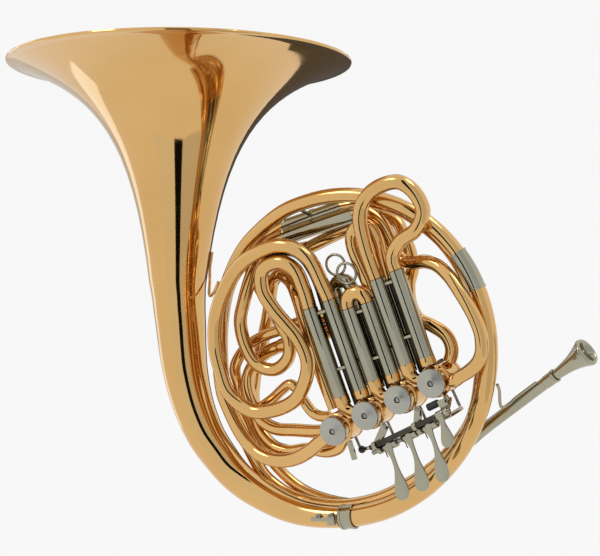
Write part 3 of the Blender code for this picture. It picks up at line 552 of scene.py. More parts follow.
def make_hoop():
    band(GARLAND_ANGLE + 1.9, GARLAND_RADIUS + 0.4, 6.0, "garland")
    span = FERRULE_ANGLE - GARLAND_ANGLE
    fall = GARLAND_RADIUS - SMALL_END_RADIUS - 0.5
    shares = [0.0] + [(i + 0.6) / 13 for i in range(13)]
    big = [(*hoop(GARLAND_ANGLE + span * t), GARLAND_RADIUS - fall * t) for t in shares]
    finish(tube(smooth(big, 0, 7), 4), "second_branch", GOLD)
    sleeve = [(*hoop(FERRULE_ANGLE + 0.8), 7.6), (*hoop(FERRULE_ANGLE + 0.1), 7.6)]
    sleeve += [(*hoop(FERRULE_ANGLE - 1.2 * k), 7.22 + 0.02 * k) for k in range(12)]
    sleeve += [(*hoop(FERRULE_ANGLE - 13.3), 7.8), (*hoop(FERRULE_ANGLE - 14.0), 7.8)]
    finish(tube(sleeve), "branch_ferrule", NICKEL)
    small = [(*hoop(a), SMALL_END_RADIUS) for a in range(41, 119, 11)]
    small += laid([(-138.5, 7.5, 124.5), (-149.9, 7.5, 108), (-157.6, 7.5, 92), (-163.5, 7.5, 76)])
    small += laid([(-167.5, 7.5, 60), (-169.2, 7.5, 40), (-169.2, 7.5, 18), (-168, 7.5, -2)])
    small += laid([(-165.3, 7.5, -16.4), (-159.8, 7, -28), (-151.7, 5, -40.5), (-142.4, 2, -50.6)])
    small += laid([(-131.2, -1, -59), (-118.3, -4, -63.6), (-99.9, -6.5, -63.6), (-81.7, -7.5, -57)])
    small += [(*port(0, 220, 10, -TIER), SMALL_END_RADIUS)]
    rows = np.vstack([smooth(small, SMALL_END_RADIUS, 9),
                      (*port(0, 220, 0, -TIER), SMALL_END_RADIUS)])
    finish(tube(rows), "first_branch", GOLD)


make_hoop()
report("hoop")

# %% [markdown]
# Air enters through the mouthpiece and the receiver into the leadpipe, which passes behind the
# hoop, follows its foot and ends in the upper leg of the tuning slide. The cup of the mouthpiece
# is turned inside and out, with a rounded rim that the lips rest on.

# %% Leadpipe, receiver and mouthpiece
OUTER_LEG_RADIUS = 6.6
BORE_RADIUS = 5.9
LEADPIPE_RADIUS = 5.0
RECEIVER_MOUTH = (136.0, 30.0, 33.8)
RECEIVER_LENGTH = 11.6
SHANK_DEPTH = 27.0


def make_leadpipe():
    mouth = Vector(RECEIVER_MOUTH)
    bend = Vector(laid([(75.5, 31, -19.1)])[0])
    run = (mouth - bend).normalized()
    start = mouth - run * (RECEIVER_LENGTH + GAP)
    foot = Vector(laid([(59.0, 33, -35.2)])[0])
    ahead = (foot - bend).normalized()
    course = smooth([start, start - run * 20, bend, foot - ahead * 6], LEADPIPE_RADIUS)
    pipe = as_mesh(tube([*course, (*foot, LEADPIPE_RADIUS)]))
    bore = as_mesh(bar(start + run * 4, start - run * (SHANK_DEPTH - RECEIVER_LENGTH + 1), 4.3))
    finish(combine(pipe, [bore], "DIFFERENCE"), "leadpipe", NICKEL)
    route = [tuple(foot + ahead * 6)]
    route += laid([(33, 35, -70), (-1, 36, -95), (-52, 38, -109), (-100, 38, -104), (-132, 38, -83)])
    route += laid([(-152, 38, -58), (-162, 38, -35), (-165, 34, -14), (-164, 26, 3), (-157, 23, 17)])
    route += laid([(-145, 23, 30), (-117, 23, 44.4)])
    rows = [(*(foot + ahead * GAP), LEADPIPE_RADIUS), *smooth(route, LEADPIPE_RADIUS)]
    end = Vector(rows[-1][:3])
    legs = [(*(end + ACROSS * 2), OUTER_LEG_RADIUS), (*(end + ACROSS * 64), OUTER_LEG_RADIUS)]
    pipe = as_mesh(tube(list(rows) + legs))
    bore = as_mesh(bar(end + ACROSS * 8, end + ACROSS * 70, BORE_RADIUS))
    finish(combine(pipe, [bore], "DIFFERENCE"), "leadpipe_branch", GOLD)
    out = RECEIVER_LENGTH
    finish(turned([(5.3, -out), (4.6, -out), (4.8, 0), (6.0, 0), (6.0, -1.8), (5.5, -2.5),
                   (5.5, 1.5 - out)], mouth, run, 20), "receiver", NICKEL)
    cup = [(8.8, 35.6), (9.3, 36.2), (10.2, 36.6), (11.2, 36.4), (11.9, 35.6), (12.2, 34.4)]
    cup += [(12.0, 33.2), (11.4, 32.2), (11.2, 31.4), (10.4, 29.4), (9.2, 26.5), (7.6, 21.5)]
    cup += [(6.4, 17), (5.5, 11.5), (4.9, 6), (4.5, 2), (4.3, 0), (3.8, -SHANK_DEPTH)]
    cup += [(1.9, -SHANK_DEPTH), (1.8, 2), (2.3, 6), (3.2, 13), (4.2, 20), (5.6, 26.5), (7.0, 31.5)]
    finish(turned(cup, mouth, run, 24), "mouthpiece", NICKEL)
    return end


pipe_end = make_leadpipe()
report("leadpipe")

# %% [markdown]
# A slide is a bow whose two thin legs run inside two outer legs. The main tuning bow goes over
# the ends of the leadpipe and of the return tube, and is drawn out to tune the whole horn.

# %% Return tube and main tuning bow
INNER_LEG_RADIUS = BORE_RADIUS - GAP
BEND_RADIUS = 6.3
TUBE_RADIUS = 5.8


def make_return():
    end = Vector(laid([(-117, 23, 30.0)])[0])
    route = [tuple(port(0, 204, 8, TIER))]
    route += laid([(-76, 7.5, -37.6), (-94, 7.5, -38.9), (-111, 7.5, -40.4), (-120, 8, -38.7)])
    route += laid([(-128.5, 8, -33.5), (-138, 9.5, -19), (-144, 13, -3), (-143, 20, 9)])
    route += [*laid([(-135, 23, 19)]), tuple(end)]
    rows = [(*port(0, 204, 0, TIER), TUBE_RADIUS), *smooth(route, TUBE_RADIUS)]
    rows += [(*(end + ACROSS * 2), OUTER_LEG_RADIUS), (*(end + ACROSS * 64), OUTER_LEG_RADIUS)]
    pipe = as_mesh(tube(rows))
    bore = as_mesh(bar(end + ACROSS * 8, end + ACROSS * 70, BORE_RADIUS))
    finish(combine(pipe, [bore], "DIFFERENCE"), "tuning_return", GOLD)
    return end


def make_bow(name, ends, direction, depth_in, reach, look=GOLD):
    """A slide's bow: two inner legs and the bend that joins them."""
    first, second = ends
    half = (second - first) / 2
    middle = (first + second) / 2 + direction * reach
    bend = []
    for step in range(25):
        angle = math.pi * step / 24
        bend.append((*(middle - half * math.cos(angle) + direction * half.length * math.sin(angle)),
                     BEND_RADIUS - 0.2))
    rows = [(*(first - direction * depth_in), INNER_LEG_RADIUS), (*(first + direction * GAP),
            INNER_LEG_RADIUS), (*(first + direction * (GAP + 0.6)), BEND_RADIUS - 0.2)]
    rows += bend
    rows += [(*(second + direction * (GAP + 0.6)), BEND_RADIUS - 0.2),
             (*(second + direction * GAP), INNER_LEG_RADIUS),
             (*(second - direction * depth_in), INNER_LEG_RADIUS)]
    return finish(tube(rows), name, look)


return_end = make_return()
make_bow("main_tuning_bow", (pipe_end + ACROSS * 64, return_end + ACROSS * 64), ACROSS, 45, 4)
report("tuning slide")

# %% [markdown]
# Each valve slide has two braced nickel legs and a gold crook.
# The third crook is the longest and makes the big figure on the left, the second is only a short
# bow, and the first stands highest. The two low slides lie behind them in the plane of the hoop.

# %% Legs and crooks of the valve slides
def make_legs(name, index, left, right, depth, elbow):
    """Two outer legs of a valve's slide, braced, each bored for its inner leg."""
    pieces = []
    tops = []
    for leg, (across, low, high) in enumerate((left, right)):
        bottom = slide(index, across, low, depth)
        top = slide(index, across, high, depth)
        rows = [(*bottom, OUTER_LEG_RADIUS), (*top, OUTER_LEG_RADIUS)]
        if leg == 0 and elbow:
            foot = [(*slide(index, *place, depth), 4.6) for place in elbow]
            rows = foot + [(*slide(index, across, low - 2.5, depth), 5.6)] + rows
        pieces.append(as_mesh(tube(rows)))
        tops.append(top)
    for up in (0.35, 0.93):
        a = slide(index, left[0], left[1] + up * (left[2] - left[1]), depth)
        b = slide(index, right[0], left[1] + up * (left[2] - left[1]), depth)
        pieces.append(as_mesh(bar(a, b, 1.6, 8)))
    legs = combine(pieces[0], pieces[1:], "UNION")
    cuts = []
    for (across, low, high), top in zip((left, right), tops):
        cuts.append(as_mesh(bar(slide(index, across, low + 8, depth), top + UP * 4, BORE_RADIUS)))
    finish(combine(legs, cuts, "DIFFERENCE"), name, NICKEL)
    return tops


def make_crook(name, tops, route, depth_in):
    """The bow of a valve slide: a loop between its two inner legs."""
    first, second = tops
    lift = UP * (GAP + 0.6)
    loop = smooth([(*(first + lift), BEND_RADIUS)] + route + [(*(second + lift), BEND_RADIUS)],
                  BEND_RADIUS, 16)
    rows = [(*(first - UP * depth_in), INNER_LEG_RADIUS), (*(first + UP * GAP), INNER_LEG_RADIUS)]
    rows += list(loop)
    rows += [(*(second + UP * GAP), INNER_LEG_RADIUS), (*(second - UP * depth_in), INNER_LEG_RADIUS)]
    finish(tube(rows), name, GOLD)


def make_valve_slides():
    elbow = ((-13.7, 4.4), (-17.5, 6.2))
    third = make_legs("third_slide_legs", 1, (-21.5, 13, 99.5), (-1, 14.4, 101), -TIER, elbow)
    places = [(-21, 108), (-20.8, 116), (-22.8, 134.4), (-34.1, 144.8), (-52.5, 143), (-59.5, 126)]
    places += [(-54.9, 106.5), (-42, 76.7), (-41, 57.6), (-48.6, 43), (-65.7, 28.5), (-93.2, 25.5)]
    places += [(-112.1, 31.3), (-126.6, 50.8), (-127, 73.7), (-123.6, 94.4), (-110, 122)]
    places += [(-82.2, 147.9), (-60.7, 157), (-26.1, 157.5), (-7, 140.5), (-2, 112)]
    make_crook("third_slide_crook", third, [tuple(slide(1, *p, -TIER)) for p in places], 52)
    second = make_legs("second_slide_legs", 2, (-20.2, 13, 84), (-1.9, 14.4, 84), -TIER, elbow)
    places = [(-20, 87.5), (-18.1, 92), (-14.6, 94.6), (-11, 95.5), (-7.5, 94.6), (-4, 92), (-2.1, 87.5)]
    make_crook("second_slide_crook", second, [tuple(slide(2, *p, -TIER)) for p in places], 42)
    first = make_legs("first_slide_legs", 3, (-20.6, 13, 95), (-1, 14.4, 97), -TIER, elbow)
    places = [(-21, 106), (-20.6, 125.2), (-17.2, 146.2), (-9.3, 158.7), (5.6, 166.4), (27.7, 165.6)]
    places += [(38.4, 153.6), (40.4, 136.6), (28.7, 124), (12, 119), (1, 110)]
    make_crook("first_slide_crook", first, [tuple(slide(3, *p, -TIER)) for p in places], 50)
    low = make_legs("low_third_slide_legs", 1, (-1.3, 14.5, 100), (14.6, 22, 100), TIER, None)
    make_bow("low_third_slide_bow", low, UP, 55, 5, NICKEL)
    low = make_legs("low_second_slide_legs", 2, (-3.2, 14.8, 92), (14.6, 22, 92), TIER, None)
    places = [(-3.6, 102.4), (-5.2, 117.7), (-5.6, 132), (-2, 142), (7, 147), (15, 142), (17.4, 130.4)]
    places += [(15.6, 112)]
    make_crook("low_second_slide_crook", low, [tuple(slide(2, *p, TIER + 1)) for p in places], 48)


make_valve_slides()
report("valve slides")

# %% [markdown]
# The fixed tubes between the valves and the slides are wound behind and inside the hoop: the loop
# and knee of the change valve, the arch to the first valve, the tube of the F side, and the
# tuning crook that the arch and that tube end in.

# %% Loops inside the hoop
LEG_WALL = OUTER_LEG_RADIUS - BORE_RADIUS


def make_loops():
    branch = [tuple(port(0, 256, 3, TIER))]
    branch += laid([(-53, 7.5, -49.5), (-63, 7.5, -53.5), (-74, 8, -54), (-85, 8.5, -55.5)])
    branch += laid([(-100.6, 9, -59.6), (-117, 11, -58), (-130, 14.5, -50), (-139.5, 20, -39)])
    branch += laid([(-148, 30, -22), (-150, 36, -8), (-148, 38, 9), (-143, 38, 25), (-136, 38, 57)])
    branch += laid([(-134, 37, 73), (-130, 35, 85), (-120, 30, 92), (-107, 24, 88), (-94, 13, 76)])
    branch += laid([(-85, 8, 58), (-72, 8, 22), (-56, 7.5, -14.2)])
    rows = np.vstack([(*port(0, 256, 0, TIER), TUBE_RADIUS), smooth(branch, TUBE_RADIUS)])
    finish(tube(rows), "change_valve_loop", GOLD)
    knee = laid([(-61, 8, -22), (-76, 9, -22.3), (-86, 9, -12.5), (-93, 9.5, -2.6)])
    knee += laid([(-100.5, 10, 0.6), (-109, 11.5, -5.5), (-118, 12.5, -14.5), (-126.5, 12, -21.5), (-133, 10.5, -26.5)])
    finish(tube(smooth(knee, 4.8)), "change_valve_knee", GOLD)
    low_end = Vector(laid([(-44, 20, 155)])[0])
    low_start = Vector(laid([(-111, 20, 128)])[0])
    along = (low_end - low_start).normalized()
    high_start = low_start + Vector((-6, 13, 6.2))
    high_end = high_start + along * 60
    arch = laid([(-34, 21, 156.5), (-21, 22, 149), (-11, 20.5, 136), (-3, 18, 124), (5, 15.5, 119)])
    arch += laid([(14, 12.5, 119.5), (26.3, 9, 122.6), (38.1, 6.5, 121.2), (51.2, 2, 114)])
    arch += laid([(63, -3, 103.4), (73, -6.5, 92.5), (80.1, -8, 82), (84.8, -8.5, 71), (86, -8.5, 58)])
    arch += laid([(82.5, -8, 47.5), (73.8, -7.5, 38), (66, -7.5, 32.5)])
    arch += [tuple(port(3, 8, 3, -TIER)), tuple(port(3, 8, 0, -TIER))]
    rows = [(*low_start, OUTER_LEG_RADIUS), (*low_end, OUTER_LEG_RADIUS)]
    rows += list(smooth([(*(low_end + along * 1.5), TUBE_RADIUS)] + arch, TUBE_RADIUS))
    arch_tube = sink_hole(tube(rows), low_start, (low_end - low_start).length - 4, LEG_WALL)
    finish(arch_tube, "first_valve_arch", GOLD)
    ring = laid([(-44, 33, 161), (-32, 33, 162.5), (-18, 29, 162.5), (-4, 24, 161), (10, 20.5, 156.5)])
    ring += laid([(24.8, 19, 148.1), (38.4, 18.5, 138), (52, 18.5, 122), (63, 19, 101), (69.5, 19, 82)])
    ring += laid([(72.9, 20.5, 62), (73.8, 21, 44), (73, 21, 24), (69.9, 21, 2), (63.4, 21, -17)])
    ring += laid([(50, 19.5, -37.5), (35.4, 20, -54.4), (10.8, 21.5, -75), (-22, 23, -95)])
    ring += laid([(-58, 24.5, -107)])
    ring += laid([(-96, 28, -109.2), (-117.6, 29, -104), (-136.5, 28.8, -92), (-149, 27.8, -72.6)])
    ring += laid([(-158.5, 26, -51), (-168.1, 25, -32), (-175, 25, -12), (-177, 25, 15), (-176, 25, 44)])
    ring += laid([(-173, 28, 69), (-168, 33, 86), (-159, 40, 99), (-141, 44.5, 109), (-118, 42, 112)])
    ring += laid([(-97, 37.2, 117)])
    rows = [(*high_start, OUTER_LEG_RADIUS), (*high_end, OUTER_LEG_RADIUS)]
    rows += list(smooth([(*(high_end + along * 1.5), TUBE_RADIUS)] + ring, TUBE_RADIUS))
    loop = sink_hole(tube(rows), high_start, (high_end - high_start).length - 4, LEG_WALL)
    finish(loop, "f_loop_tube", GOLD)
    bow = laid([(-94.3, 36.9, 118.3), (-75, 36, 129), (-52, 38, 141), (-40, 40, 146), (-25, 41, 150)])
    bow += laid([(-13, 39, 146), (-5, 35, 136), (3, 31, 123), (8, 24, 111), (9, 15, 100), (14, 9, 84)])
    bow += laid([(22, 8, 73), (34, 8, 69), (47, 8, 62), (52, 8, 52), (50.6, 7.5, 41)])
    finish(tube(smooth(bow, TUBE_RADIUS)), "tuning_bow", GOLD)
    loop = laid([(-123, 19, 122.6), (-130, 18.5, 115.5), (-137, 16, 104), (-140, 11, 90)])
    loop += laid([(-145, 8, 69), (-148, 7.5, 52), (-143, 7.5, 31), (-131, 7.5, 15), (-114, 7.5, 13)])
    loop += laid([(-101, 7.5, 25), (-100, 7.5, 41), (-109, 9.5, 53), (-123, 17, 67), (-139, 24, 82)])
    loop += laid([(-148, 27, 97), (-148, 29.5, 110), (-140, 32, 121), (-130, 33, 127)])
    first = low_start - along * (GAP + 0.6)
    second = high_start - along * (GAP + 0.6)
    rows = [(*(low_start + along * 45), INNER_LEG_RADIUS)]
    rows += [(*(low_start - along * GAP), INNER_LEG_RADIUS)]
    rows += list(smooth([(*first, TUBE_RADIUS)] + loop + [(*second, TUBE_RADIUS)], TUBE_RADIUS, 16))
    rows += [(*(high_start - along * GAP), INNER_LEG_RADIUS)]
    rows += [(*(high_start + along * 45), INNER_LEG_RADIUS)]
    finish(tube(rows), "f_tuning_crook", GOLD)


make_loops()
report("loops")

# %% [markdown]
# A rotary valve is a brass casing with a screwed nickel cap. The rotor inside ends in a small
# nose at the middle of the cap, and in a spindle at the back, which carries the stop arm.

# %% Rotary valves
ROTOR_RADIUS = 11.4
BACK_PLATE = 2.5
SPINDLE_RADIUS = 2.4
CAP_HEIGHT = 3.6
VALVES = ("change", "third", "second", "first")
CRANK = 6.2
CRANK_DEPTH = CASING_LENGTH / 2 + 2.0
LINK_RADIUS = 1.3
CAP_RADIUS = 12.3
NOSE_RADIUS = 2.3
CAP_PROFILE = [(CAP_RADIUS - 0.8, CAP_HEIGHT), (CAP_RADIUS - 0.25, CAP_HEIGHT - 0.2),
               (CAP_RADIUS, CAP_HEIGHT - 0.7), (CAP_RADIUS, GAP), (2.7, GAP), (2.7, CAP_HEIGHT + 0.1),
               (3.0, CAP_HEIGHT + 0.35), (4.2, CAP_HEIGHT + 0.35), (4.8, CAP_HEIGHT)]


def box(centre, size, axes):
    """A block with its sides along three given directions, its edges broken by a bevel."""
    bpy.ops.object.select_all(action="DESELECT")
    bpy.ops.mesh.primitive_cube_add(size=1.0)
    block = bpy.context.active_object
    turn = Matrix([Vector(a) for a in axes]).transposed().to_4x4()
    size_now = Matrix.Diagonal((size[0] * MM, size[1] * MM, size[2] * MM, 1.0))
    block.matrix_world = Matrix.Translation(Vector(centre) * MM) @ turn @ size_now
    bpy.ops.object.transform_apply(location=True, rotation=True, scale=True)
    bpy.ops.object.mode_set(mode="EDIT")
    bpy.ops.mesh.select_all(action="SELECT")
    bpy.ops.mesh.bevel(offset=0.35 * MM, segments=2, affect="EDGES")
    bpy.ops.object.mode_set(mode="OBJECT")
    return block


def crank_pin():
    """The crank's pin seen from the valve's axis, at rest."""
    eighth = CRANK * math.sin(math.radians(45))
    return DROP * eighth - ROW * eighth


def make_crank(index, name):
    centre = valve(index) + BACK * CRANK_DEPTH
    pin = crank_pin()
    hub = as_mesh(bar(centre - BACK * 1.2, centre + BACK * 1.2, 4.4, 12))
    reach = pin.normalized()
    arm = box(centre + pin * 0.75, (CRANK * 1.1, 2.0, 3.6), (reach, BACK, reach.cross(BACK)))
    crank = combine(hub, [arm], "UNION")
    hole = as_mesh(bar(centre - BACK * 4, centre + BACK * 4, SPINDLE_RADIUS + GAP, 10))
    finish(combine(crank, [hole], "DIFFERENCE"), name + "_stop_arm", NICKEL)


def make_valves():
    half = CASING_LENGTH / 2
    inner = ROTOR_RADIUS + GAP
    hole = SPINDLE_RADIUS + GAP
    for index, name in enumerate(VALVES):
        centre = valve(index)
        front = -BACK
        shell = [(CAP_RADIUS, half), (CAP_RADIUS, half - 4.6), (CAP_RADIUS + 0.5, half - 5.2),
                 (CASING_RADIUS - 0.3, half - 5.7), (CASING_RADIUS, half - 6.4),
                 (CASING_RADIUS, half - 9), (CASING_RADIUS - 0.5, half - 9.4),
                 (CASING_RADIUS - 0.5, 3.4 - half), (CASING_RADIUS, 3 - half), (CASING_RADIUS, -half),
                 (hole, -half),
                 (hole, BACK_PLATE - half), (inner, BACK_PLATE - half), (inner, half)]
        finish(turned(shell, centre, front, 20), name + "_valve_casing", GOLD)
        cap = turned(CAP_PROFILE, centre + front * half, front, 96)
        finish(cap, name + "_valve_cap", "satin_nickel")
        length = CASING_LENGTH - BACK_PLATE - 2 * GAP - 0.7
        base = centre + BACK * (half - BACK_PLATE - GAP)
        rotor = as_mesh(bar(base - BACK * length, base, ROTOR_RADIUS, 20))
        spindle = as_mesh(bar(base - BACK * 2, centre + BACK * (CRANK_DEPTH + 2.2), SPINDLE_RADIUS, 10))
        nose = centre - BACK * (half + CAP_HEIGHT - 0.9)
        stem = as_mesh(bar(base - BACK * (length - 2), nose, NOSE_RADIUS, 12))
        finish(combine(rotor, [spindle, stem, as_mesh(ball(nose, NOSE_RADIUS * 0.97, 0.35))],
                       "UNION"), name + "_valve_rotor", STEEL)
        make_crank(index, name)


make_valves()
report("valves")

# %% [markdown]
# Three finger levers turn on one rod. Each has a long thin stem with a curved web at its root and
# a leaf-shaped pad. The leaf is drawn as a flat strip, widened station by station, and a Solidify
# and a Bevel give it its thickness and its softened edge.

# %% Levers and their links
ROD_DROP = 31.0
ROD_DEPTH = -16.0
ROD_RADIUS = 2.0
HUB_RADIUS = 4.0
LEVER_ARM = 34.0
THUMB_DROP = 26.0
THUMB_DEPTH = -21.0
BLADE = 2.0
ARM_RADIUS = 1.8


def leaf(root, along, side, outward, stations):
    bpy.ops.object.select_all(action="DESELECT")
    bpy.ops.mesh.primitive_plane_add(size=1.0)
    plate = bpy.context.active_object
    bpy.ops.object.mode_set(mode="EDIT")
    bpy.ops.mesh.select_all(action="DESELECT")
    shape = bmesh.from_edit_mesh(plate.data)
    for vert in shape.verts:
        vert.select = vert.co.y < 0
    shape.select_flush(True)
    bmesh.update_edit_mesh(plate.data)
    bpy.ops.mesh.delete(type="VERT")
    bpy.ops.mesh.select_all(action="SELECT")
    for _ in fine_stations(stations)[1:]:
        bpy.ops.mesh.extrude_region_move(TRANSFORM_OT_translate={"value": (0, 1.0, 0)})
    bpy.ops.object.mode_set(mode="OBJECT")
    rows = sorted({round(v.co.y, 3) for v in plate.data.vertices})
    for vert in plate.data.vertices:
        reach, lift, left, right = fine_stations(stations)[rows.index(round(vert.co.y, 3))]
        edge = -left if vert.co.x < 0 else right
        vert.co = (root + along * reach + outward * lift + side * edge) * MM
    only(plate)
    bpy.ops.object.modifier_add(type="SOLIDIFY")
    plate.modifiers[-1].thickness = BLADE * MM
    plate.modifiers[-1].offset = 0.0
    bpy.ops.object.modifier_apply(modifier=plate.modifiers[-1].name)
    bpy.ops.object.modifier_add(type="BEVEL")
    plate.modifiers[-1].width = 0.45 * MM
    plate.modifiers[-1].segments = 3
    plate.modifiers[-1].angle_limit = math.radians(50)
    bpy.ops.object.modifier_apply(modifier=plate.modifiers[-1].name)
    return plate


def fine_stations(stations):
    """The stations of a leaf with three more between each two, on a smooth line."""
    table = np.array(stations, float)
    t = np.arange(len(table))
    fine = np.linspace(0, len(table) - 1, 4 * (len(table) - 1) + 1)
    slope = np.gradient(table, axis=0)
    rows = []
    for value in fine:
        i = min(int(value), len(table) - 2)
        s = value - i
        a = 2 * s ** 3 - 3 * s * s + 1
        rows.append(a * table[i] + (s ** 3 - 2 * s * s + s) * slope[i]
                    + (1 - a) * table[i + 1] + (s ** 3 - s * s) * slope[i + 1])
    return rows


def rod_bar(start, end, drop, depth, radius, sides=12):
    """A round bar along the valve row."""
    return as_mesh(bar(row_point(start, drop, depth), row_point(end, drop, depth), radius, sides))


def make_link(name, pin, drop):
    depth = CRANK_DEPTH + 3.2
    along = pin.dot(ROW)
    finish(bar(row_point(along, pin.dot(DROP), depth), row_point(along, drop - 2.2, depth - 2.6),
               LINK_RADIUS, 8), name + "_link", STEEL)


def make_levers():
    finish(rod_bar(-28, 42, ROD_DROP, ROD_DEPTH, ROD_RADIUS), "lever_rod", STEEL)
    blade = [(-2.5, 0, 2, 1.8), (2, 0, 5.5, 2.2), (6, 0, 3.6, 1.8), (11, 0, 2.1, 1.7), (19, 0, 2, 2)]
    blade += [(26, 0.4, 3.3, 3.3), (33, 1.4, 5.4, 5.4), (39, 2.8, 6.4, 6.4), (43, 4.0, 6.0, 6.0)]
    blade += [(45.8, 4.9, 4.2, 4.2), (47, 5.3, 1.8, 1.8)]
    for index in (1, 2, 3):
        hub_at = (index - 1.5) * 21.0 + 2.0
        hub = rod_bar(hub_at - 6.5, hub_at + 6.5, ROD_DROP, ROD_DEPTH, HUB_RADIUS)
        pin = valve(index) + crank_pin()
        pin_along = pin.dot(ROW)
        shank = (DROP - ROW * 0.19).normalized()
        side = shank.cross(BACK)
        paddle = leaf(row_point(hub_at, ROD_DROP, ROD_DEPTH - 3.2), shank, side, -BACK, blade)
        course = [(hub_at, ROD_DEPTH), (hub_at, ROD_DEPTH + 7), (pin_along, ROD_DEPTH + 12),
                  (pin_along, ROD_DEPTH + LEVER_ARM + 1)]
        arm = tube([(*row_point(a, ROD_DROP, d), ARM_RADIUS) for a, d in course], 1)
        lever = combine(hub, [as_mesh(paddle), as_mesh(arm)], "UNION")
        hole = rod_bar(hub_at - 9, hub_at + 9, ROD_DROP, ROD_DEPTH, ROD_RADIUS + GAP)
        finish(combine(lever, [hole], "DIFFERENCE"), VALVES[index] + "_finger_lever", NICKEL)
        make_link(VALVES[index], pin, ROD_DROP)
    for number, along in enumerate((-20.0, 22.6)):
        make_post(number, along)


def make_post(number, along):
    """A post from a casing's wall to the lever rod, with an ear round the thumb lever's shaft."""
    base = (number - 0.5) * VALVE_PITCH
    depth = ROD_DEPTH + 1.5
    wall = CASING_RADIUS + GAP
    foot = as_mesh(bar(row_point(base + 0.6 * wall, 0.8 * wall, depth),
                       row_point(base + 11.5, 15.3, depth), 1.8, 8))
    top = row_point(base + 11.4, 14.9, depth)
    low = row_point(along, ROD_DROP - 5.6, ROD_DEPTH + 0.5)
    way = (low - top).normalized()
    side = way.cross(BACK)
    plate = box((top + low) / 2, ((low - top).length + 1, BLADE, 7.0), (way, side.cross(way), side))
    ears = [rod_bar(along - 1.8, along + 1.8, ROD_DROP, ROD_DEPTH, 3.7),
            rod_bar(along - 1.8, along + 1.8, THUMB_DROP, THUMB_DEPTH, 3.5),
            as_mesh(bar(row_point(along, ROD_DROP, ROD_DEPTH), low, 1.7, 8)),
            as_mesh(bar(low, row_point(along, THUMB_DROP, THUMB_DEPTH), 1.7, 8))]
    post = combine(plate, [foot] + ears, "UNION")
    holes = [rod_bar(along - 5, along + 5, ROD_DROP, ROD_DEPTH, ROD_RADIUS + GAP),
             rod_bar(along - 5, along + 5, THUMB_DROP, THUMB_DEPTH, ROD_RADIUS + GAP)]
    finish(combine(post, holes, "DIFFERENCE"), "lever_post_%d" % (number + 1), NICKEL)


make_levers()
report("finger levers")

# %% [markdown]
# The thumb lever works the change valve. Its shaft runs along the row of valves in front of the
# finger rod, with the thumb's paddle at one end and an arm to the change valve at the other.

# %% Thumb lever
def make_thumb():
    pin = valve(0) + crank_pin()
    left = pin.dot(ROW)
    shaft = rod_bar(-25.5, 58.5, THUMB_DROP, THUMB_DEPTH, ROD_RADIUS)
    hub = rod_bar(45.5, 52.5, THUMB_DROP, THUMB_DEPTH, 3.4)
    arm = as_mesh(bar(row_point(-24.0, THUMB_DROP, THUMB_DEPTH),
                      row_point(left, THUMB_DROP, CRANK_DEPTH + 2), 1.5, 8))
    shank = (DROP - ROW * 0.13).normalized()
    blade = [(1.0, 0, 2.6, 2.6), (8, 0, 2.4, 2.4), (14, 0.6, 4.0, 4.0), (20, 2.0, 5.6, 5.6)]
    blade += [(24.5, 3.6, 5.2, 5.2), (27, 4.6, 2.4, 2.4)]
    paddle = leaf(row_point(49.5, THUMB_DROP, THUMB_DEPTH - 2.6), shank, shank.cross(BACK), -BACK, blade)
    finish(combine(shaft, [hub, arm, as_mesh(paddle)], "UNION"), "thumb_lever", NICKEL)
    base = 1.5 * VALVE_PITCH
    depth = -9.0
    wall = CASING_RADIUS + GAP
    foot = as_mesh(bar(row_point(base + 0.15 * wall, 0.99 * wall, depth),
                       row_point(base + 3.4, 19.5, depth - 1), 2.2, 8))
    high = row_point(base + 3.2, 18.2, depth)
    low = row_point(55.5, THUMB_DROP - 2.0, THUMB_DEPTH + 1.5)
    way = (low - high).normalized()
    side = way.cross(BACK).normalized()
    plate = box((high + low) / 2, ((low - high).length + 1, BLADE, 7.0), (way, side.cross(way), side))
    ear = rod_bar(53.4, 57.4, THUMB_DROP, THUMB_DEPTH, 3.6)
    bracket = combine(ear, [plate, foot], "UNION")
    hole = rod_bar(50, 61, THUMB_DROP, THUMB_DEPTH, ROD_RADIUS + GAP)
    finish(combine(bracket, [hole], "DIFFERENCE"), "thumb_bracket", NICKEL)
    make_link("change", pin, THUMB_DROP)


make_thumb()
report("thumb lever")

# %% [markdown]
# Two rings on the low third slide let the player draw it. A torus is already a ring of wire, so
# it only has to be placed. A last wire brace ties the leadpipe to the hoop.

# %% Rings and the leadpipe brace
def make_rings():
    for number, (across, up) in enumerate(((8.6, 127.2), (18.8, 117.8))):
        centre = slide(1, across, up, TIER - (7.4 if number else 1.6))
        bpy.ops.object.select_all(action="DESELECT")
        bpy.ops.mesh.primitive_torus_add(major_radius=8.8 * MM, minor_radius=1.15 * MM,
                                         major_segments=72, minor_segments=20)
        ring = bpy.context.active_object
        turn = BACK.to_track_quat("Z", "Y").to_matrix().to_4x4()
        ring.matrix_world = Matrix.Translation(centre * MM) @ turn
        finish(ring, "pull_ring_%d" % (number + 1), NICKEL)


def make_leadpipe_brace():
    brace = [hoop(-5, -(GARLAND_RADIUS + GAP)), hoop(-7, -(GARLAND_RADIUS + 1.5), 4)]
    brace += laid([(93.0, 19.5, 3.5), (97.5, 24.6, 5.6), (102.2, 26.2, 10.6), (111, 26.0, 18.3)])
    brace += laid([(120.5, 25.7, 26.6)])
    finish(tube(smooth(brace, WIRE_RADIUS), 1), "leadpipe_brace", NICKEL)


make_rings()
make_leadpipe_brace()
report("rings and brace")

# %% [markdown]
# The small fittings stand for no node of their own. The thumb lever's shaft has a sleeve of blued
# steel, its rod ends in a black ball, and coil springs on the finger rod push the levers up.

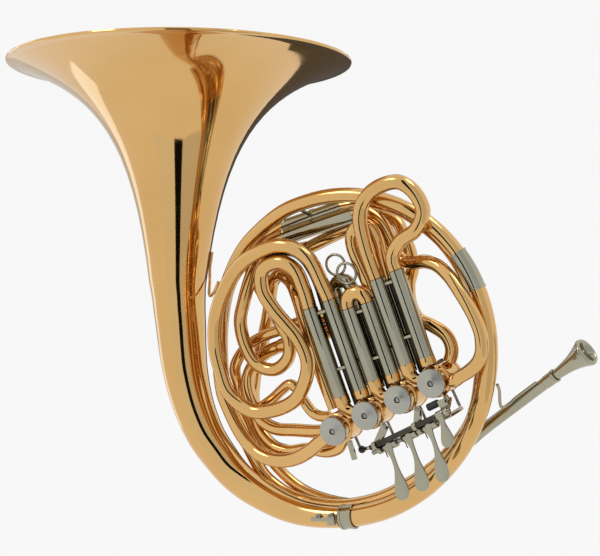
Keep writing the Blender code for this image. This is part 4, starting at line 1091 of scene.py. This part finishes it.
# %% Small fittings of the levers
blued = make_metal("blued steel", (0.085, 0.072, 0.055), (0.045, 0.040, 0.034), 0.16, 0.30, 0.0, 70.0)
# Near-black brass for the tubes behind the slide legs: painted shade for the gaps between the legs.
painted_shade_brass = make_metal("brass with painted shade", (0.060, 0.044, 0.026), (0.018, 0.015, 0.012),
                       0.30, 0.48, 0.0, 45.0)


def make_lever_fittings():
    for number, (start, end) in enumerate(((-25.0, -22.2), (-17.8, 20.2), (25.0, 45.0))):
        sleeve = rod_bar(start, end, THUMB_DROP, THUMB_DEPTH, ROD_RADIUS + 0.35)
        fit(sleeve, "thumb_shaft_sleeve_%d" % (number + 1), "thumb_lever", "steel", blued)
    pin = valve(0) + crank_pin()
    end = row_point(pin.dot(ROW) + 1.5, THUMB_DROP, CRANK_DEPTH - 0.6)
    fit(ball(end, 3.3), "thumb_ball_joint", "thumb_lever", "steel", black)
    hook = box(row_point(-58.6, 22.4, 7.0), (17.0, 3.0, 4.6),
               ((DROP - ROW * 0.22).normalized(), BACK, (DROP - ROW * 0.22).normalized().cross(BACK)))
    fit(hook, "change_valve_stop_bar", "lever_rod", "nickel_silver")
    fit(rod_bar(38.0, 48.6, 17.0, -14.5, 3.2), "bumper_roller", "lever_rod", "steel", black)
    block = box(row_point(53.4, 19.6, -15.6), (8.6, 3.4, 8.4), (ROW, BACK, DROP))
    fit(block, "bumper_block", "lever_rod", "nickel_silver")
    for number, along in enumerate((-8.5, 12.5, 33.5)):
        coil = rod_bar(along - 8.8, along - 6.9, ROD_DROP, ROD_DEPTH, 3.1)
        fit(coil, "spring_coil_%d" % (number + 1), "lever_rod", "steel", blued)
        tail = bar(row_point(along - 7.9, ROD_DROP + 2.6, ROD_DEPTH),
                   row_point(along - 7.0, ROD_DROP + 8.6, ROD_DEPTH - 2.2), 0.55)
        fit(tail, "spring_tail_%d" % (number + 1), "lever_rod", "steel")


make_lever_fittings()
report("lever fittings")

# %% [markdown]
# Behind the bright legs lie tubes in their shade, and that shade is painted into their near-black
# brass. One of them bends over between the two loops of the third crook.

# %% Tubes behind the slide legs, with painted shade
def make_rear_tubes():
    over = [slide(1, *place) for place in ((-11.2, 9.5, -2.2), (-11.2, 60, -2.2), (-11.3, 96, -1),
                                           (-12.6, 114, 2.6), (-14.4, 129, 3.2), (-18.5, 141, 3.2),
                                           (-27, 149.5, 3.2), (-40, 152, 3.2), (-52, 149, 3.2))]
    curved = tube(smooth([tuple(place) for place in over], 3.5))
    fit(curved, "rear_tube_bow", "lever_rod", "lacquered_brass", painted_shade_brass)
    for number, (index, low, high) in enumerate(((2, 9.5, 80.0), (3, 9.5, 92.0))):
        places = ((-11.2, -2.2, 3.2), (-15.4, 5.4, 3.4))
        for part, (across, depth, radius) in enumerate(places):
            rear = bar(slide(index, across, low, depth), slide(index, across, high, depth), radius)
            name = "rear_tube_%d_%d" % (number + 1, part + 1)
            fit(rear, name, "lever_rod", "lacquered_brass", painted_shade_brass)


make_rear_tubes()
report("rear tubes")

# %% [markdown]
# The last fittings are sleeves. Gold elbows and cuffs hold the feet of the slide legs, nickel
# sleeves cover the two legs of the tuning crook, with a stay up to the hoop, and by the garland
# sits the socket for a music holder with its two screws.

# %% Cuffs, sleeves and the music holder's socket
def make_cuffs():
    places = (("third", 1, -21.5), ("second", 2, -20.2), ("first", 3, -20.6))
    for name, index, left in places:
        rows = [(*slide(index, -13.7, 4.4, -TIER), 4.85), (*slide(index, -17.5, 6.2, -TIER), 4.85),
                (*slide(index, left, 10.5, -TIER), 5.85), (*slide(index, left, 13, -TIER), 6.85),
                (*slide(index, left, 20.5, -TIER), 6.85)]
        fit(tube(rows), name + "_left_cuff", name + "_slide_legs", "lacquered_brass", metals[GOLD])
        right = -1.9 if index == 2 else -1.0
        cuff = bar(slide(index, right, 14.6, -TIER), slide(index, right, 21.5, -TIER), 6.85, 32)
        fit(cuff, name + "_right_cuff", name + "_slide_legs", "lacquered_brass", metals[GOLD])


def make_tuning_sleeves():
    low_start = Vector(laid([(-111, 20, 128)])[0])
    low_end = Vector(laid([(-44, 20, 155)])[0])
    along = (low_end - low_start).normalized()
    high_start = low_start + Vector((-6, 13, 6.2))
    for number, (start, length) in enumerate(((low_start, (low_end - low_start).length), (high_start, 60))):
        profile = [(6.62, 0.2), (7.2, 0.2), (7.2, 2.0), (6.9, 2.3), (6.9, length), (6.62, length)]
        sleeve = turned(profile, start, along)
        fit(sleeve, "tuning_leg_sleeve_%d" % (number + 1), "f_loop_tube", "nickel_silver")
    spot = high_start + along * 30
    crest = min((Vector(hoop(angle)) for angle in range(60, 119)), key=lambda place: (place - spot).length)
    way = (crest - spot).normalized()
    fit(bar(spot + way * 6.8, crest - way * 6.2, 1.6), "tuning_leg_stay", "f_loop_tube", "nickel_silver")
    collar = turned([(6.92, -1.6), (7.5, -1.6), (7.5, 1.6), (6.92, 1.6)], spot, along)
    fit(collar, "tuning_leg_collar", "f_loop_tube", "nickel_silver")


def make_music_socket():
    end = Vector(hoop(GARLAND_ANGLE - 1.2))
    away = (Vector(hoop(GARLAND_ANGLE - 3.2)) - end).normalized()
    out = Vector((0.35, -0.90, 0.05))
    out = (out - away * out.dot(away)).normalized()
    side = away.cross(out)
    plate = box(end + away * 12.5 + out * 10.9 + side, (23.0, 1.8, 3.6), (away, out, side))
    fit(plate, "music_holder_plate", "garland", "nickel_silver")
    block = box(end + away * 4.5 + out * 10.6, (7.5, 3.6, 8.0), (away, out, side))
    fit(block, "music_holder_block", "garland", "nickel_silver")
    for number, (back, drop) in enumerate(((16.0, 4.2), (3.5, 5.0))):
        foot = end + away * back + side * drop
        screw = turned([(0.5, 7.5), (1.6, 7.5), (1.6, 11.2), (2.2, 11.6), (2.2, 13.0), (1.7, 13.5),
                        (0.5, 13.5)], foot, out)
        fit(screw, "music_holder_screw_%d" % (number + 1), "garland", "steel")


make_cuffs()
make_tuning_sleeves()
make_music_socket()
report("cuffs, sleeves and socket")

# %% [markdown]
# The floor and backdrop are one pale surface. Polished metal shows what stands round it, so a few
# dark cards outside the picture give the tubes their thin dark lines.

# %% Stage, lights and camera
AIM = Vector((-0.14135, 0.1075, 0.0715))
VIEW = Vector((0.44894, -0.86609, 0.21985))
DISTANCE = 2.0
FOCAL_PIXELS = 2207.0
IMAGE_WIDTH = 600.0
PALE = 0.95


def pale_surface(name):
    """Pale grey that the camera and the metal both see at one even level, with a faint shadow."""
    paint = bpy.data.materials.new(name)
    paint.use_nodes = True
    nodes = paint.node_tree.nodes
    links = paint.node_tree.links
    nodes["Principled BSDF"].inputs["Base Color"].default_value = (0.9, 0.9, 0.9, 1.0)
    nodes["Principled BSDF"].inputs["Roughness"].default_value = 0.9
    glow = nodes.new("ShaderNodeEmission")
    glow.inputs["Color"].default_value = (PALE, PALE, PALE, 1.0)
    seen = nodes.new("ShaderNodeMath")
    seen.operation = "MULTIPLY"
    seen.inputs[1].default_value = 0.96
    links.new(any_direct_ray(paint.node_tree), seen.inputs[0])
    mix = nodes.new("ShaderNodeMixShader")
    links.new(seen.outputs["Value"], mix.inputs["Fac"])
    links.new(nodes["Principled BSDF"].outputs["BSDF"], mix.inputs[1])
    links.new(glow.outputs["Emission"], mix.inputs[2])
    links.new(mix.outputs["Shader"], nodes["Material Output"].inputs["Surface"])
    return paint


def any_direct_ray(tree):
    """A socket that is 1 for camera, glossy and transmission rays."""
    ray = tree.nodes.new("ShaderNodeLightPath")
    socket = ray.outputs["Is Camera Ray"]
    for kind in ("Is Glossy Ray", "Is Transmission Ray"):
        either = tree.nodes.new("ShaderNodeMath")
        either.operation = "MAXIMUM"
        tree.links.new(socket, either.inputs[0])
        tree.links.new(ray.outputs[kind], either.inputs[1])
        socket = either.outputs["Value"]
    return socket


bpy.ops.mesh.primitive_plane_add(size=24.0, location=(0, 0, cad_box[0][2] - 0.25))
floor = bpy.context.active_object
floor.name = "floor"
floor.data.materials.append(pale_surface("pale floor"))

world = bpy.data.worlds.new("studio")
bpy.context.scene.world = world
world.use_nodes = True
tone = world.node_tree.nodes.new("ShaderNodeMix")
tone.data_type = "RGBA"
tone.inputs["A"].default_value = (0.6, 0.6, 0.6, 1.0)
tone.inputs["B"].default_value = (PALE, PALE, PALE, 1.0)
world.node_tree.links.new(any_direct_ray(world.node_tree), tone.inputs["Factor"])
world.node_tree.links.new(tone.outputs["Result"], world.node_tree.nodes["Background"].inputs["Color"])


def add_light(name, place, target, size, power):
    bpy.ops.object.light_add(type="AREA", location=place)
    lamp = bpy.context.active_object
    lamp.name = name
    lamp.data.energy = power
    lamp.data.shape = "RECTANGLE"
    lamp.data.size = size[0]
    lamp.data.size_y = size[1]
    lamp.rotation_euler = (Vector(target) - Vector(place)).to_track_quat("-Z", "Y").to_euler()


add_light("key", (-1.3, -1.2, 1.9), AIM, (0.7, 0.7), 7.0)
add_light("top", (0.5, 0.4, 2.0), AIM, (1.0, 0.6), 6.0)


def add_card(name, base, sideways, low, high, level):
    """An upright card from its middle, its half width as a vector, and its height; only metal sees it."""
    bpy.ops.mesh.primitive_plane_add(size=1.0)
    card = bpy.context.active_object
    card.name = name
    base = Vector((*base, 0.0))
    sideways = Vector((*sideways, 0.0))
    corners = (base - sideways + UPRIGHT * low, base + sideways + UPRIGHT * low,
               base - sideways + UPRIGHT * high, base + sideways + UPRIGHT * high)
    for vert, place in zip(card.data.vertices, corners):
        vert.co = place
    paint = bpy.data.materials.new(name)
    paint.use_nodes = True
    glow = paint.node_tree.nodes.new("ShaderNodeEmission")
    glow.inputs["Color"].default_value = (*level, 1.0)
    output = paint.node_tree.nodes["Material Output"]
    paint.node_tree.links.new(glow.outputs["Emission"], output.inputs["Surface"])
    card.data.materials.append(paint)
    card.visible_camera = False
    card.visible_shadow = False
    card.visible_diffuse = False


UPRIGHT = Vector((0.0, 0.0, 1.0))
add_card("black strip", (0.005, -0.37), (0.0546, 0.0315), -0.03, 0.90, (0.004, 0.004, 0.004))
add_card("front wall, left half", (-0.03, -1.04), (0.44, -0.09), -0.40, 1.80, (0.88, 0.93, 1.00))
add_card("front wall, right half", (0.535, -0.615), (0.125, 0.515), -0.40, 1.80, (0.70, 0.73, 0.78))
add_card("left softbox", (-0.80, 0.11), (0.02, 0.09), -0.40, 0.70, (1.35, 1.55, 1.95))
add_card("dim back left", (-1.30, 0.75), (0.45, 0.35), -0.40, 0.60, (0.66, 0.66, 0.64))
add_card("dark backdrop", (-0.274, 0.52), (0.116, 0.0), -0.40, 0.30, (0.10, 0.09, 0.08))

bpy.ops.object.camera_add(location=AIM + VIEW * DISTANCE)
camera = bpy.context.active_object
camera.rotation_euler = (-VIEW).to_track_quat("-Z", "Y").to_euler()
camera.data.sensor_width = 36.0
camera.data.lens = FOCAL_PIXELS / IMAGE_WIDTH * camera.data.sensor_width
bpy.context.scene.camera = camera
bpy.context.scene.view_settings.view_transform = "Standard"
